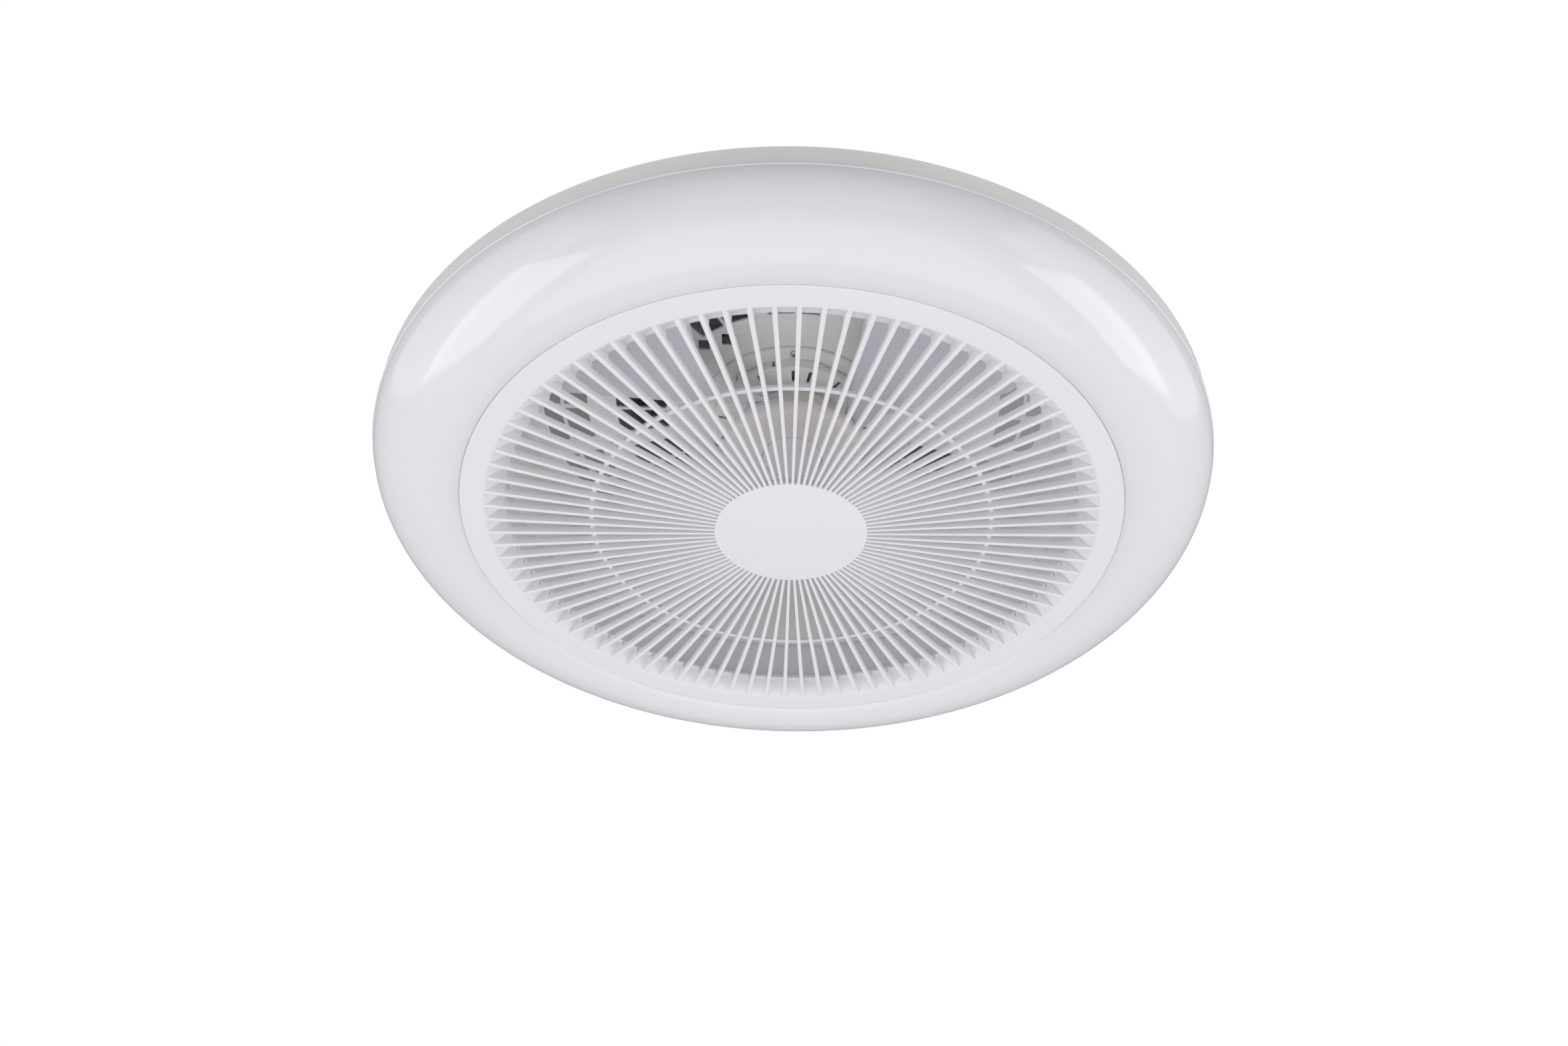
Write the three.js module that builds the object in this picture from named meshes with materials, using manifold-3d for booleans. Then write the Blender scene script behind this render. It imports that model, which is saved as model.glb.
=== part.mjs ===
// An enclosed flush ceiling fan with a ring light round its grille.
// Millimetres, +Z up. The origin is the middle of the ceiling plate's top face.
// Heights are measured up from the grille's face, which hangs faceDrop below the ceiling.

import * as THREE from 'three';
import { mergeVertices } from 'three/addons/utils/BufferGeometryUtils.js';
import Module from 'manifold-3d';

const wasm = await Module();
wasm.setup();

// Overall
const faceDrop = 200;           // from the ceiling down to the grille's face
const gap = 0.3;                // between pieces that rest on or in one another
const runGap = 0.8;             // beside pieces that turn
const ringSteps = 48;           // facets round the large rings
const smallSteps = 16;          // facets round the motor's pieces

// Grille
const hubDiscRadius = 54;
const hubDiscSkin = 2.4;
const proud = 0.3;              // disc and face ring stand this far below the ribs
const ribCount = 90;
const ribDepth = 5;
const ribRootWidth = 1.9;
const ribEndWidth = 3.2;
const bridgeRingRadius = 141;   // the thin ring that ties the ribs at mid length
const bridgeRingWidth = 3.2;
const bridgeRingDepth = 2.6;
const coneReach = 13.6;         // from the throat out to the ribs' ends
const coneRise = 10;            // the 45 degree wall behind the ribs' ends
const throatLip = 5;            // the throat stands this far inside the duct
const grilleSkin = 2.2;
const faceRingWidth = 16.5;
const skirtInset = 4.4;         // from the ribs' ends to the wall that carries the lugs
const skirtWall = 1.8;
const skirtHeight = 14;
const lugCount = 4;
const lugReach = 5.6;
const lugDepth = 2.3;
const lugArc = 10;              // degrees
const twistTravel = 12;         // degrees from locked to free

// Grille seat
const ductRadius = 206;
const seatSkin = 2.5;
const seatInset = 3.1;          // the seat stays this far inside the face ring's edge
const seatLow = 3;
const ductLow = 13;
const hookLow = 4.5;
const hookDepth = 2.5;
const stopArc = 1.2;            // degrees
const stopPlay = 0.3;           // degrees between a lug and its stop
const stopRise = 3;
const slotPlay = 0.5;           // degrees the slots are wider than the lugs, on each side

// Lamp ring
const lampWidth = 63.5;         // from the face ring to the lamp's edge
const lipHeight = 30.4;
const bellyReach = 18.9;        // from the face ring to where the diffuser hangs lowest
const bellyDrop = 4.4;
const bellyPower = 1.81;        // 2 is an ellipse, 1 a straight slope
const diffuserSkin = 2.2;
const spigotRise = 6;           // the diffuser's edge inside the pan's wall
const grooveWidth = 0.6;        // dark line between the face ring and the diffuser
const rollHeight = 0.8;
const sleeveTop = 16;
const panTop = 45.8;
const panSheet = 1.2;
const boardInset = 2;           // from the housing's flange to the board
const boardMargin = 8.6;        // from the board to the lamp's edge
const boardSheet = 1.6;
const chipSize = 5;
const chipDepth = 1.2;
const chipRowInset = 12;
const chipCount = 24;

// Rear housing
const housingWall = 2.2;
const housingTop = 120.2;
const shoulderRadius = 8;
const flangeReach = 10;         // from the seat to the flange's edge
const windowCount = 12;
const windowMargin = 6;         // from the canopy's edge to the intake windows
const windowRim = 16;           // from the windows to the duct's wall
const windowArc = 25;           // degrees
const ventInner = 96;           // vents under the canopy
const ventWide = 38;
const ventArc = 23;             // degrees
const padVents = 5;             // vents left out where the plate has its solid pad
const padScrewRadius = 136;
const padScrewBoss = 8;
const cableSlots = [
  { across: -49, along: -60, long: 15, wide: 9 },
  { across: -73, along: -34, long: 22, wide: 11 },
  { across: -40, along: -121, long: 22, wide: 10 },
];

// Motor
const mountRadius = 60;
const mountLow = 106;
const mountWall = 2.5;
const mountFlange = 70;
const mountSlots = 12;
const slotWide = 2.4;
const slotTall = 7;
const shaftRadius = 3.5;
const shaftLow = 71.6;
const shaftTop = 111;
const bearingRadius = 6;
const bearingWide = 5;
const tubeWall = 2.7;
const tubeLow = 83;
const statorRadius = 30.5;
const statorYoke = 15;
const statorLow = 87;
const statorTall = 12;
const toothCount = 12;
const toothWide = 3.8;
const toothTipDepth = 3;
const toothTipArc = 22;         // degrees
const coilWall = 2;
const coilLength = 9;
const magnetWall = 2.6;
const airGap = 1.1;
const magnetLow = 84;
const magnetTall = 18;
const bellWall = 1.5;
const bellFloor = 2.5;
const bellLow = 78.5;
const bellTop = 104.5;

// Blades and their hub
const bladeCount = 4;
const firstBlade = 4.5;         // degrees that the first blade is turned on from the near side
const bladeClearance = 16;      // from the blades' tips to the duct's wall
const bladeStart = 41;
const bladeOffset = 35;         // the straight leading edge passes the axis at this distance
const rootArc = 23;             // degrees of a circle that the blade covers
const tipArc = 49;
const tipRound = 36;            // the corner of trailing edge and tip is rounded to this radius
const bladeSkin = 2.4;
const bladeCamber = 3;
const leadRoot = 90;            // heights of the leading and trailing edges
const leadTip = 87;
const trailRoot = 84.2;
const trailTip = 71;
const hubWall = 2.7;
const hubTop = 104;
const hubLow = 72;
const hubFlange = 52;
const hubFlangeTop = 81.5;
const hubEdge = 6;
const footDepth = 2.6;
const footMargin = 13;          // degrees of foot on each side of the blade, for the screws
const padArc = 26;              // degrees of the upright pad that holds the blade's root
const capRadius = 21.7;
const capSkin = 1.1;
const capRecess = 3.8;
const capDome = 2.4;
const nutWide = 6;
const nutTall = 2.6;
const washerRadius = 9;
const washerSheet = 1;

// Canopy, ceiling plate and what they hold
const canopyRadius = 150;
const canopyWall = 1.2;
const canopyFlange = 12;
const plateSheet = 2;
const tabCount = 3;
const tabArc = 14;              // degrees
const tabTall = 18;
const cableHoleAcross = -50;
const cableHoleRadius = 12;
const anchorSlotRadius = 60;    // slots for the installer's own two screws
const anchorSlotLong = 16;
const anchorSlotWide = 5;
const grommetBore = 7;
const grommetFlange = 14.5;
const driverSize = [104, 28, 22];
const driverAlong = 48;
const controllerSize = [96, 34, 20];
const controllerAlong = -46;
const terminalSize = [18, 34, 16];
const terminalAcross = -72;
const leadRadius = 2.1;
const leadAlong = -16;
const leadStart = 8;            // height of a lead above the floor of its box
const ledLeadRadius = 2;
const ledLeadTurn = 15;         // degrees off +Y, so that it crosses a spoke
const leadClear = 3;

// Screws
const screwRadius = 1.9;
const screwHead = 3.6;
const headDepth = 2.2;
const screwSteps = 6;
const panScrews = 4;
const boardScrews = 4;
const housingScrews = 3;
const motorScrews = 3;
const bladeScrewRadius = 47.4;

const degrees = Math.PI / 180;
const fullTurn = 360;           // degrees
const nearSide = -90;           // the direction of -Y, in degrees

// Helpers

function closed(geometry) {
  const bare = geometry.clone();
  bare.deleteAttribute('normal');
  bare.deleteAttribute('uv');
  const merged = mergeVertices(bare, 1e-4);
  const index = merged.index.array;
  const kept = [];
  for (let i = 0; i < index.length; i += 3) {
    const [a, b, c] = [index[i], index[i + 1], index[i + 2]];
    if (a !== b && b !== c && c !== a) kept.push(a, b, c);
  }
  merged.setIndex(kept);
  if (volume(merged) < 0) merged.setIndex(kept.reverse());
  return merged;
}

function volume(geometry) {
  const index = geometry.index.array;
  const [a, b, c] = [new THREE.Vector3(), new THREE.Vector3(), new THREE.Vector3()];
  let sum = 0;
  for (let i = 0; i < index.length; i += 3) {
    a.fromBufferAttribute(geometry.attributes.position, index[i]);
    b.fromBufferAttribute(geometry.attributes.position, index[i + 1]);
    c.fromBufferAttribute(geometry.attributes.position, index[i + 2]);
    sum += a.dot(b.cross(c)) / 6;
  }
  return sum;
}

function toSolid(geometry) {
  const clean = closed(geometry);
  const mesh = new wasm.Mesh({
    numProp: 3,
    vertProperties: new Float32Array(clean.attributes.position.array),
    triVerts: new Uint32Array(clean.index.array),
  });
  return new wasm.Manifold(mesh);
}

function toGeometry(solid) {
  const mesh = solid.getMesh();
  const geometry = new THREE.BufferGeometry();
  geometry.setAttribute('position', new THREE.BufferAttribute(mesh.vertProperties, 3));
  geometry.setIndex(new THREE.BufferAttribute(mesh.triVerts, 1));
  return geometry;
}

function join(geometries) {
  const solids = geometries.map(toSolid);
  return toGeometry(solids.reduce((sum, next) => sum.add(next)));
}

function cut(geometry, tools) {
  const solid = toSolid(geometry);
  return toGeometry(tools.map(toSolid).reduce((rest, tool) => rest.subtract(tool), solid));
}

// A section of [radius, height] points turned about the vertical axis.
function turned(section, steps = ringSteps, shift = 0) {
  const onAxis = section[0][0] === 0 && section.at(-1)[0] === 0;
  const loop = onAxis ? section : [...section, section[0]];
  const points = loop.map(([radius, height]) => new THREE.Vector2(radius, height));
  const geometry = new THREE.LatheGeometry(points, steps, shift, 2 * Math.PI);
  return closed(geometry.rotateX(Math.PI / 2));
}

// A flat outline of [x, y] points raised from low to high, with round or other holes.
function raised(outline, low, high, holes = []) {
  const shape = new THREE.Shape(outline.map(([x, y]) => new THREE.Vector2(x, y)));
  for (const hole of holes) {
    shape.holes.push(new THREE.Path(hole.map(([x, y]) => new THREE.Vector2(x, y))));
  }
  const geometry = new THREE.ExtrudeGeometry(shape, { depth: high - low, bevelEnabled: false });
  return closed(geometry.translate(0, 0, low));
}

function circlePoints(radius, steps, x = 0, y = 0) {
  return Array.from({ length: steps }, (_, i) => {
    const angle = (2 * Math.PI * i) / steps;
    return [x + radius * Math.cos(angle), y + radius * Math.sin(angle)];
  });
}

function polar(radius, angle) {
  return [radius * Math.cos(angle * degrees), radius * Math.sin(angle * degrees)];
}

// Part of a ring between two radii and two angles in degrees.
function sector(inner, outer, from, to, low, high) {
  const steps = Math.max(1, Math.round((to - from) / 7.5));
  const angles = Array.from({ length: steps + 1 }, (_, i) => from + ((to - from) * i) / steps);
  const outside = angles.map((angle) => polar(outer, angle));
  const inside = angles.reverse().map((angle) => polar(inner, angle));
  return raised([...outside, ...inside], low, high);
}

function block(size, x, y, low) {
  const geometry = new THREE.BoxGeometry(...size);
  return closed(geometry.translate(x, y, low + size[2] / 2));
}

function rod(radius, low, high, x = 0, y = 0, steps = screwSteps) {
  const geometry = turned([[0, low], [radius, low], [radius, high], [0, high]], steps);
  return geometry.translate(x, y, 0);
}

// A screw along Z: head upwards from seat when up is true, or downwards from it.
function screw(seat, tip, x, y) {
  const away = Math.sign(seat - tip);
  const headEnd = seat + away * headDepth;
  const section = [
    [0, tip],
    [screwRadius, tip],
    [screwRadius, seat],
    [screwHead, seat],
    [screwHead, headEnd],
    [0, headEnd],
  ];
  return turned(section, screwSteps).translate(x, y, 0);
}

function screwHole(low, high, x, y) {
  return rod(screwRadius + gap, low, high, x, y);
}

function around(count, start, make) {
  return Array.from({ length: count }, (_, i) => make(start + (fullTurn * i) / count, i));
}

function mix(a, b, share) {
  return a + (b - a) * share;
}

function smooth(value, from, to) {
  const share = Math.min(1, Math.max(0, (value - from) / (to - from)));
  return share * share * (3 - 2 * share);
}

// Sizes that follow from the ones above

const throatRadius = ductRadius - throatLip;
const ribEndRadius = throatRadius + coneReach;
const skirtRadius = ribEndRadius + skirtInset;
const faceRingRadius = ribEndRadius + faceRingWidth;
const seatRadius = faceRingRadius - seatInset;
const flangeRadius = seatRadius + flangeReach;
const lampRadius = faceRingRadius + lampWidth;
const bellyRadius = faceRingRadius + bellyReach;
const boardInner = flangeRadius + boardInset;
const boardOuter = lampRadius - boardMargin;
const chipRowRadius = boardInner + chipRowInset;
const panScrewRadius = (ductRadius + seatRadius) / 2;
const boardScrewRadius = (boardInner + boardOuter) / 2;
const windowOuter = ductRadius - windowRim;
const bladeTip = ductRadius - bladeClearance;
const lugLow = hookLow + hookDepth + gap;
const panLow = lipHeight + gap;
const panFloor = panTop - panSheet;
const seatTop = panFloor - gap;
const flangeLow = panTop + gap;
const flangeTop = flangeLow + housingWall;
const housingInner = ductRadius - 1;
const housingFloor = housingTop - housingWall;
const mountTop = housingFloor - gap;
const mountFloor = mountLow + mountWall;
const tubeInner = bearingRadius + gap;
const tubeRadius = tubeInner + tubeWall;
const magnetInner = statorRadius + airGap;
const bellInner = magnetInner + magnetWall + gap;
const bellRadius = bellInner + bellWall;
const hubInner = bellRadius + gap;
const hubRadius = hubInner + hubWall;
const hubFloorTop = bellLow - gap;
const hubFloorLow = hubLow + capRecess;
const footLow = hubFlangeTop + gap;
const footTop = footLow + footDepth;
const canopyLow = housingTop + gap;
const canopyTop = faceDrop - gap;
const plateLow = faceDrop - plateSheet;
const plateRadius = canopyRadius - canopyWall - gap;
const floorOfBoxes = housingTop + gap;
const tabScrewHeight = plateLow - tabTall / 2;
const housingScrewRadius = canopyRadius - canopyWall - screwHead - runGap;
const windowInner = canopyRadius + windowMargin;
const motorScrewRadius = (mountRadius + mountFlange) / 2;
const boardLow = panFloor - gap - boardSheet;
const leadHole = leadRadius + gap * 3;

// Grille: disc, ribs, bridge ring, cone, face ring and skirt are one moulding

function rib(angle) {
  const inside = ribEndRadius + grilleSkin / 2;
  const profile = [
    [hubDiscRadius - hubDiscSkin, 0],
    [inside, 0],
    [inside - ribDepth, ribDepth],
    [hubDiscRadius - hubDiscSkin, ribDepth],
  ];
  const geometry = raised(profile, -0.5, 0.5);
  const position = geometry.attributes.position;
  for (let i = 0; i < position.count; i += 1) {
    const along = position.getX(i);
    const share = (along - hubDiscRadius) / (ribEndRadius - hubDiscRadius);
    position.setZ(i, position.getZ(i) * mix(ribRootWidth, ribEndWidth, share));
  }
  return geometry.rotateX(Math.PI / 2).rotateZ(angle * degrees);
}

function grille() {
  const steps = ribCount / 2;
  const shift = Math.PI / ribCount;
  const disc = turned([
    [0, -proud],
    [hubDiscRadius, -proud],
    [hubDiscRadius, ribDepth + proud],
    [hubDiscRadius - hubDiscSkin * 2, ribDepth + proud],
    [hubDiscRadius - hubDiscSkin * 2, hubDiscSkin],
    [0, hubDiscSkin],
  ], steps, shift);
  const bridgeLow = ribDepth - gap;
  const bridge = turned([
    [bridgeRingRadius - bridgeRingWidth / 2, bridgeLow],
    [bridgeRingRadius + bridgeRingWidth / 2, bridgeLow],
    [bridgeRingRadius + bridgeRingWidth / 2, bridgeLow + bridgeRingDepth],
    [bridgeRingRadius - bridgeRingWidth / 2, bridgeLow + bridgeRingDepth],
  ], steps, shift);
  const ring = turned([
    [faceRingRadius, -proud],
    [ribEndRadius, -proud],
    [ribEndRadius - coneRise, coneRise - proud],
    [throatRadius, coneRise - proud],
    [throatRadius, coneRise + grilleSkin],
    [ribEndRadius - coneRise + grilleSkin / 2, coneRise + grilleSkin],
    [ribEndRadius + grilleSkin / 2, grilleSkin],
    [skirtRadius - skirtWall, grilleSkin],
    [skirtRadius - skirtWall, skirtHeight],
    [skirtRadius, skirtHeight],
    [skirtRadius, grilleSkin],
    [faceRingRadius, grilleSkin],
  ], steps, shift);
  const lugs = around(lugCount, 0, (angle) => sector(
    skirtRadius - skirtWall / 2, skirtRadius + lugReach,
    angle - lugArc / 2, angle + lugArc / 2, lugLow, lugLow + lugDepth));
  const ribs = around(ribCount, nearSide, rib);
  return join([ring, disc, bridge, ...lugs, ...ribs]);
}

// Grille seat: an upside-down channel whose hooks the lugs slide over

function grilleSeat() {
  const channel = turned([
    [ductRadius, ductLow],
    [ductRadius, seatTop],
    [seatRadius, seatTop],
    [seatRadius, seatLow],
    [seatRadius - seatSkin, seatLow],
    [seatRadius - seatSkin, seatTop - seatSkin],
    [ductRadius + seatSkin, seatTop - seatSkin],
    [ductRadius + seatSkin, ductLow],
  ]);
  const hookInner = skirtRadius + runGap;
  const hookOuter = seatRadius - seatSkin / 2;
  const slotFrom = twistTravel - lugArc / 2 - slotPlay;
  const slotTo = twistTravel + lugArc / 2 + slotPlay;
  const hooks = around(lugCount, 0, (angle) => sector(
    hookInner, hookOuter, angle + slotTo, angle + fullTurn / lugCount + slotFrom,
    hookLow, hookLow + hookDepth));
  const locked = -lugArc / 2 - stopPlay - stopArc;
  const free = slotTo + stopPlay;
  const stops = [locked, free].flatMap((from) => around(lugCount, from, (angle) => sector(
    hookInner, hookOuter, angle, angle + stopArc,
    hookLow + hookDepth / 2, hookLow + hookDepth + stopRise)));
  const holes = panScrewSpots().map(([x, y]) => (
    screwHole(seatTop - seatSkin * 2, seatTop + seatSkin, x, y)));
  return cut(join([channel, ...hooks, ...stops]), holes);
}

// Diffuser: a superellipse from the lip to the belly, then a quarter roll into the groove

function belly(outerRadius, drop, steps) {
  return Array.from({ length: steps + 1 }, (_, i) => {
    const angle = (Math.PI / 2) * (i / steps);
    const power = 2 / bellyPower;
    return [
      bellyRadius + (outerRadius - bellyRadius) * Math.max(0, Math.cos(angle)) ** power,
      lipHeight - (lipHeight + drop) * Math.sin(angle) ** power,
    ];
  });
}

function roll(innerRadius, drop, steps) {
  return Array.from({ length: steps }, (_, i) => {
    const angle = (Math.PI / 2) * ((i + 1) / steps);
    return [
      bellyRadius - (bellyRadius - innerRadius) * Math.sin(angle),
      rollHeight - (rollHeight + drop) * Math.cos(angle),
    ];
  });
}

function diffuser() {
  const rim = faceRingRadius + grooveWidth;
  const ledge = grilleSkin + 0.4;
  const sleeve = seatRadius + gap;
  const spigot = lampRadius - panSheet - gap;
  const inside = roll(rim + diffuserSkin, bellyDrop - diffuserSkin, 1).reverse();
  const insideBelly = belly(spigot - diffuserSkin, bellyDrop - diffuserSkin, 4).reverse();
  return turned([
    ...belly(lampRadius, bellyDrop, 6),
    ...roll(rim, bellyDrop, 2),
    [rim, ledge],
    [sleeve, ledge],
    [sleeve, sleeveTop],
    [sleeve + diffuserSkin, sleeveTop],
    [sleeve + diffuserSkin, ledge + diffuserSkin],
    [rim + diffuserSkin, ledge + diffuserSkin],
    ...inside,
    ...insideBelly,
    [spigot - diffuserSkin, lipHeight + spigotRise],
    [spigot, lipHeight + spigotRise],
    [spigot, lipHeight],
  ]);
}

// Lamp pan: the steel tray behind the diffuser, with the grey rim

function panScrewSpots() {
  return around(panScrews, 30, (angle) => polar(panScrewRadius, angle));
}

function boardScrewSpots() {
  return around(boardScrews, 45, (angle) => polar(boardScrewRadius, angle));
}

function lampPan() {
  const tray = turned([
    [lampRadius, panLow],
    [lampRadius, panTop],
    [ductRadius, panTop],
    [ductRadius, panFloor],
    [lampRadius - panSheet, panFloor],
    [lampRadius - panSheet, panLow],
  ]);
  const spots = [...panScrewSpots(), ...boardScrewSpots()];
  const holes = spots.map(([x, y]) => screwHole(panFloor - 1, panTop + 1, x, y));
  const leadWay = rod(leadHole, panFloor - 1, panTop + 1, 0, ledLeadDown())
    .rotateZ(-ledLeadTurn * degrees);
  return cut(tray, [...holes, leadWay]);
}

function ledBoard() {
  const ring = turned([
    [boardInner, boardLow],
    [boardOuter, boardLow],
    [boardOuter, boardLow + boardSheet],
    [boardInner, boardLow + boardSheet],
  ]);
  const holes = boardScrewSpots().map(([x, y]) => (
    screwHole(boardLow - 1, boardLow + boardSheet + 1, x, y)));
  const sunk = chipDepth / 4;
  const chips = around(chipCount, fullTurn / (4 * chipCount), (angle) => (
    block([chipSize, chipSize, chipDepth + sunk], chipRowRadius, 0, boardLow - chipDepth)
      .rotateZ(angle * degrees)));
  return cut(join([ring, ...chips]), holes);
}

// Rear housing: an upside-down tub with intake windows round the canopy and vents under it

function windowTool(angle) {
  return sector(windowInner, windowOuter, angle - windowArc / 2, angle + windowArc / 2,
    housingFloor - 1, housingTop + 1);
}

function ventTool(angle) {
  return sector(ventInner, ventInner + ventWide, angle - ventArc / 2, angle + ventArc / 2,
    housingFloor - 1, housingTop + 1);
}

function housingScrewSpots() {
  return around(housingScrews, 45, (angle) => polar(housingScrewRadius, angle));
}

function motorScrewSpots() {
  return around(motorScrews, 30, (angle) => polar(motorScrewRadius, angle));
}

function rearHousing() {
  const corner = (radius, inset) => Array.from({ length: 3 }, (_, i) => {
    const angle = (Math.PI / 2) * (i / 2);
    const middle = housingInner + housingWall - shoulderRadius;
    return [
      middle + radius * Math.cos(angle),
      housingTop - shoulderRadius + radius * Math.sin(angle) + inset,
    ];
  });
  const tub = turned([
    [0, housingFloor],
    ...corner(shoulderRadius - housingWall, 0).reverse(),
    [housingInner, flangeLow],
    [flangeRadius, flangeLow],
    [flangeRadius, flangeTop],
    [housingInner + housingWall, flangeTop],
    ...corner(shoulderRadius, 0),
    [0, housingTop],
  ]);
  const [padX, padY] = polar(padScrewRadius, -80);
  const boss = rod(padScrewBoss, housingFloor - 5, housingFloor + 1, padX, padY, 16);
  const pitch = fullTurn / windowCount;
  const windows = around(windowCount, nearSide, windowTool);
  const vents = around(windowCount, nearSide - pitch, ventTool).slice(padVents);
  const slots = cableSlots.map(({ across, along, long, wide }) => (
    block([long, wide, housingWall + 2], across, along, housingFloor - 1)));
  const spots = [...housingScrewSpots(), ...motorScrewSpots()];
  const holes = spots.map(([x, y]) => screwHole(housingFloor - 1, housingTop + 1, x, y));
  const flangeHoles = panScrewSpots().map(([x, y]) => (
    screwHole(flangeLow - 1, flangeTop + 1, x, y)));
  const leadWay = rod(leadHole, housingFloor - 1, housingTop + 1, 0, leadAlong);
  const bossHole = rod(screwHead, housingFloor - 6, housingTop + 1, padX, padY);
  return cut(join([tub, boss]),
    [...windows, ...vents, ...slots, ...holes, ...flangeHoles, leadWay, bossHole]);
}

// Motor

function motorMount() {
  const body = turned([
    [tubeInner, tubeLow],
    [tubeRadius, tubeLow],
    [tubeRadius, mountLow],
    [mountRadius, mountLow],
    [mountRadius, mountTop - mountWall],
    [mountFlange, mountTop - mountWall],
    [mountFlange, mountTop],
    [mountRadius - mountWall, mountTop],
    [mountRadius - mountWall, mountFloor],
    [tubeInner, mountFloor],
  ], smallSteps * 2);
  const wallSlots = around(mountSlots, nearSide + fullTurn / (2 * mountSlots), (angle) => (
    block([mountWall * 3, slotWide, slotTall], mountRadius, 0, mountLow + 1)
      .rotateZ(angle * degrees)));
  const holes = motorScrewSpots().map(([x, y]) => (
    screwHole(mountTop - mountWall - 1, mountTop + 1, x, y)));
  const leadWay = rod(leadHole, mountLow - 1, mountFloor + 1, 0, leadAlong);
  return cut(body, [...wallSlots, ...holes, leadWay]);
}

function statorCore() {
  const half = toothWide / 2;
  const tipInner = statorRadius - toothTipDepth;
  const outline = [];
  for (let i = 0; i < toothCount; i += 1) {
    const turn = (fullTurn / toothCount) * i;
    const root = Math.asin(half / statorYoke) / degrees;
    const neck = Math.asin(half / tipInner) / degrees;
    outline.push(polar(statorYoke, turn - root));
    outline.push(polar(tipInner, turn - neck));
    for (const side of [-1, 0, 1]) outline.push(polar(statorRadius, turn + (side * toothTipArc) / 2));
    outline.push(polar(tipInner, turn + neck));
    outline.push(polar(statorYoke, turn + root));
  }
  const bore = circlePoints(tubeRadius + gap, smallSteps);
  return raised(outline, statorLow, statorLow + statorTall, [bore]);
}

function statorWindings() {
  const inside = [toothWide / 2 + gap, statorTall / 2 + gap];
  const outside = inside.map((size) => size + coilWall);
  const rectangle = ([x, y]) => [[-x, -y], [x, -y], [x, y], [-x, y]];
  const start = statorYoke + 2;
  const coils = around(toothCount, 0, (angle) => (
    raised(rectangle(outside), start, start + coilLength, [rectangle(inside)])
      .rotateX(Math.PI / 2).rotateZ(Math.PI / 2)
      .translate(0, 0, statorLow + statorTall / 2)
      .rotateZ(angle * degrees)));
  const linkLow = statorLow + statorTall + gap * 2;
  const link = turned([
    [start - coilWall / 2, linkLow],
    [start + coilWall / 2, linkLow],
    [start + coilWall / 2, linkLow + coilWall / 2],
    [start - coilWall / 2, linkLow + coilWall / 2],
  ], smallSteps);
  return join([link, ...coils]);
}

function statorBoard() {
  const low = statorLow + statorTall + gap + coilWall + gap;
  return turned([
    [tubeRadius + gap, low],
    [statorRadius - toothTipDepth, low],
    [statorRadius - toothTipDepth, low + boardSheet],
    [tubeRadius + gap, low + boardSheet],
  ], smallSteps * 2);
}

function bearing(low) {
  return turned([
    [shaftRadius + gap, low],
    [bearingRadius, low],
    [bearingRadius, low + bearingWide],
    [shaftRadius + gap, low + bearingWide],
  ], smallSteps);
}

function retainingClip() {
  const low = mountFloor + gap;
  return turned([
    [shaftRadius + gap, low],
    [bearingRadius, low],
    [bearingRadius, low + washerSheet],
    [shaftRadius + gap, low + washerSheet],
  ], smallSteps);
}

function rotorBell() {
  return turned([
    [shaftRadius + gap, bellLow],
    [bellRadius, bellLow],
    [bellRadius, bellTop],
    [bellInner, bellTop],
    [bellInner, bellLow + bellFloor],
    [shaftRadius + gap, bellLow + bellFloor],
  ], smallSteps * 2);
}

function magnetRing() {
  return turned([
    [magnetInner, magnetLow],
    [magnetInner + magnetWall, magnetLow],
    [magnetInner + magnetWall, magnetLow + magnetTall],
    [magnetInner, magnetLow + magnetTall],
  ], smallSteps * 2);
}

// Hub: a cup round the bell with a dished flange that carries the blades

function bladeAngle(radius) {
  return Math.asin(Math.min(1, bladeOffset / radius)) / degrees;
}

// Near the tip the trailing edge draws back along a quarter circle of radius tipRound.
function bladeArc(radius) {
  const beyond = Math.max(0, (radius - (bladeTip - tipRound)) / tipRound);
  const drawnBack = tipRound * (1 - Math.sqrt(1 - Math.min(1, beyond) ** 2));
  return mix(rootArc, tipArc, smooth(radius, hubFlange, bladeTip)) - drawnBack / radius / degrees;
}

function bladeTurn(index) {
  return nearSide + firstBlade + (fullTurn / bladeCount) * index;
}

function footSpan() {
  const start = bladeAngle(bladeScrewRadius);
  return [start - footMargin, start + rootArc + footMargin];
}

function bladeScrewSpots(index) {
  const [from, to] = footSpan();
  const inset = footMargin * 0.4;
  return [from + inset, to - inset].map((angle) => (
    polar(bladeScrewRadius, angle + bladeTurn(index))));
}

function allBladeScrewSpots() {
  return Array.from({ length: bladeCount }, (_, i) => bladeScrewSpots(i)).flat();
}

function bladeHub() {
  const cup = turned([
    [shaftRadius + gap, hubFloorLow],
    [capRadius + gap, hubFloorLow],
    [capRadius + gap, hubLow],
    [hubFlange - hubEdge, hubLow],
    [hubFlange - hubEdge * 0.3, hubLow + hubEdge * 0.3],
    [hubFlange, hubLow + hubEdge],
    [hubFlange, hubFlangeTop],
    [hubRadius, hubFlangeTop],
    [hubRadius, hubTop],
    [hubInner, hubTop],
    [hubInner, hubFloorTop],
    [shaftRadius + gap, hubFloorTop],
  ], smallSteps * 2);
  const holes = allBladeScrewSpots().map(([x, y]) => (
    screwHole(hubFlangeTop - 5, hubFlangeTop + 1, x, y)));
  return cut(cup, holes);
}

// Blade: at each radius the chord runs from the leading edge, a straight line that
// passes the axis at bladeOffset, over bladeArc degrees down to the trailing edge.

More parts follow.
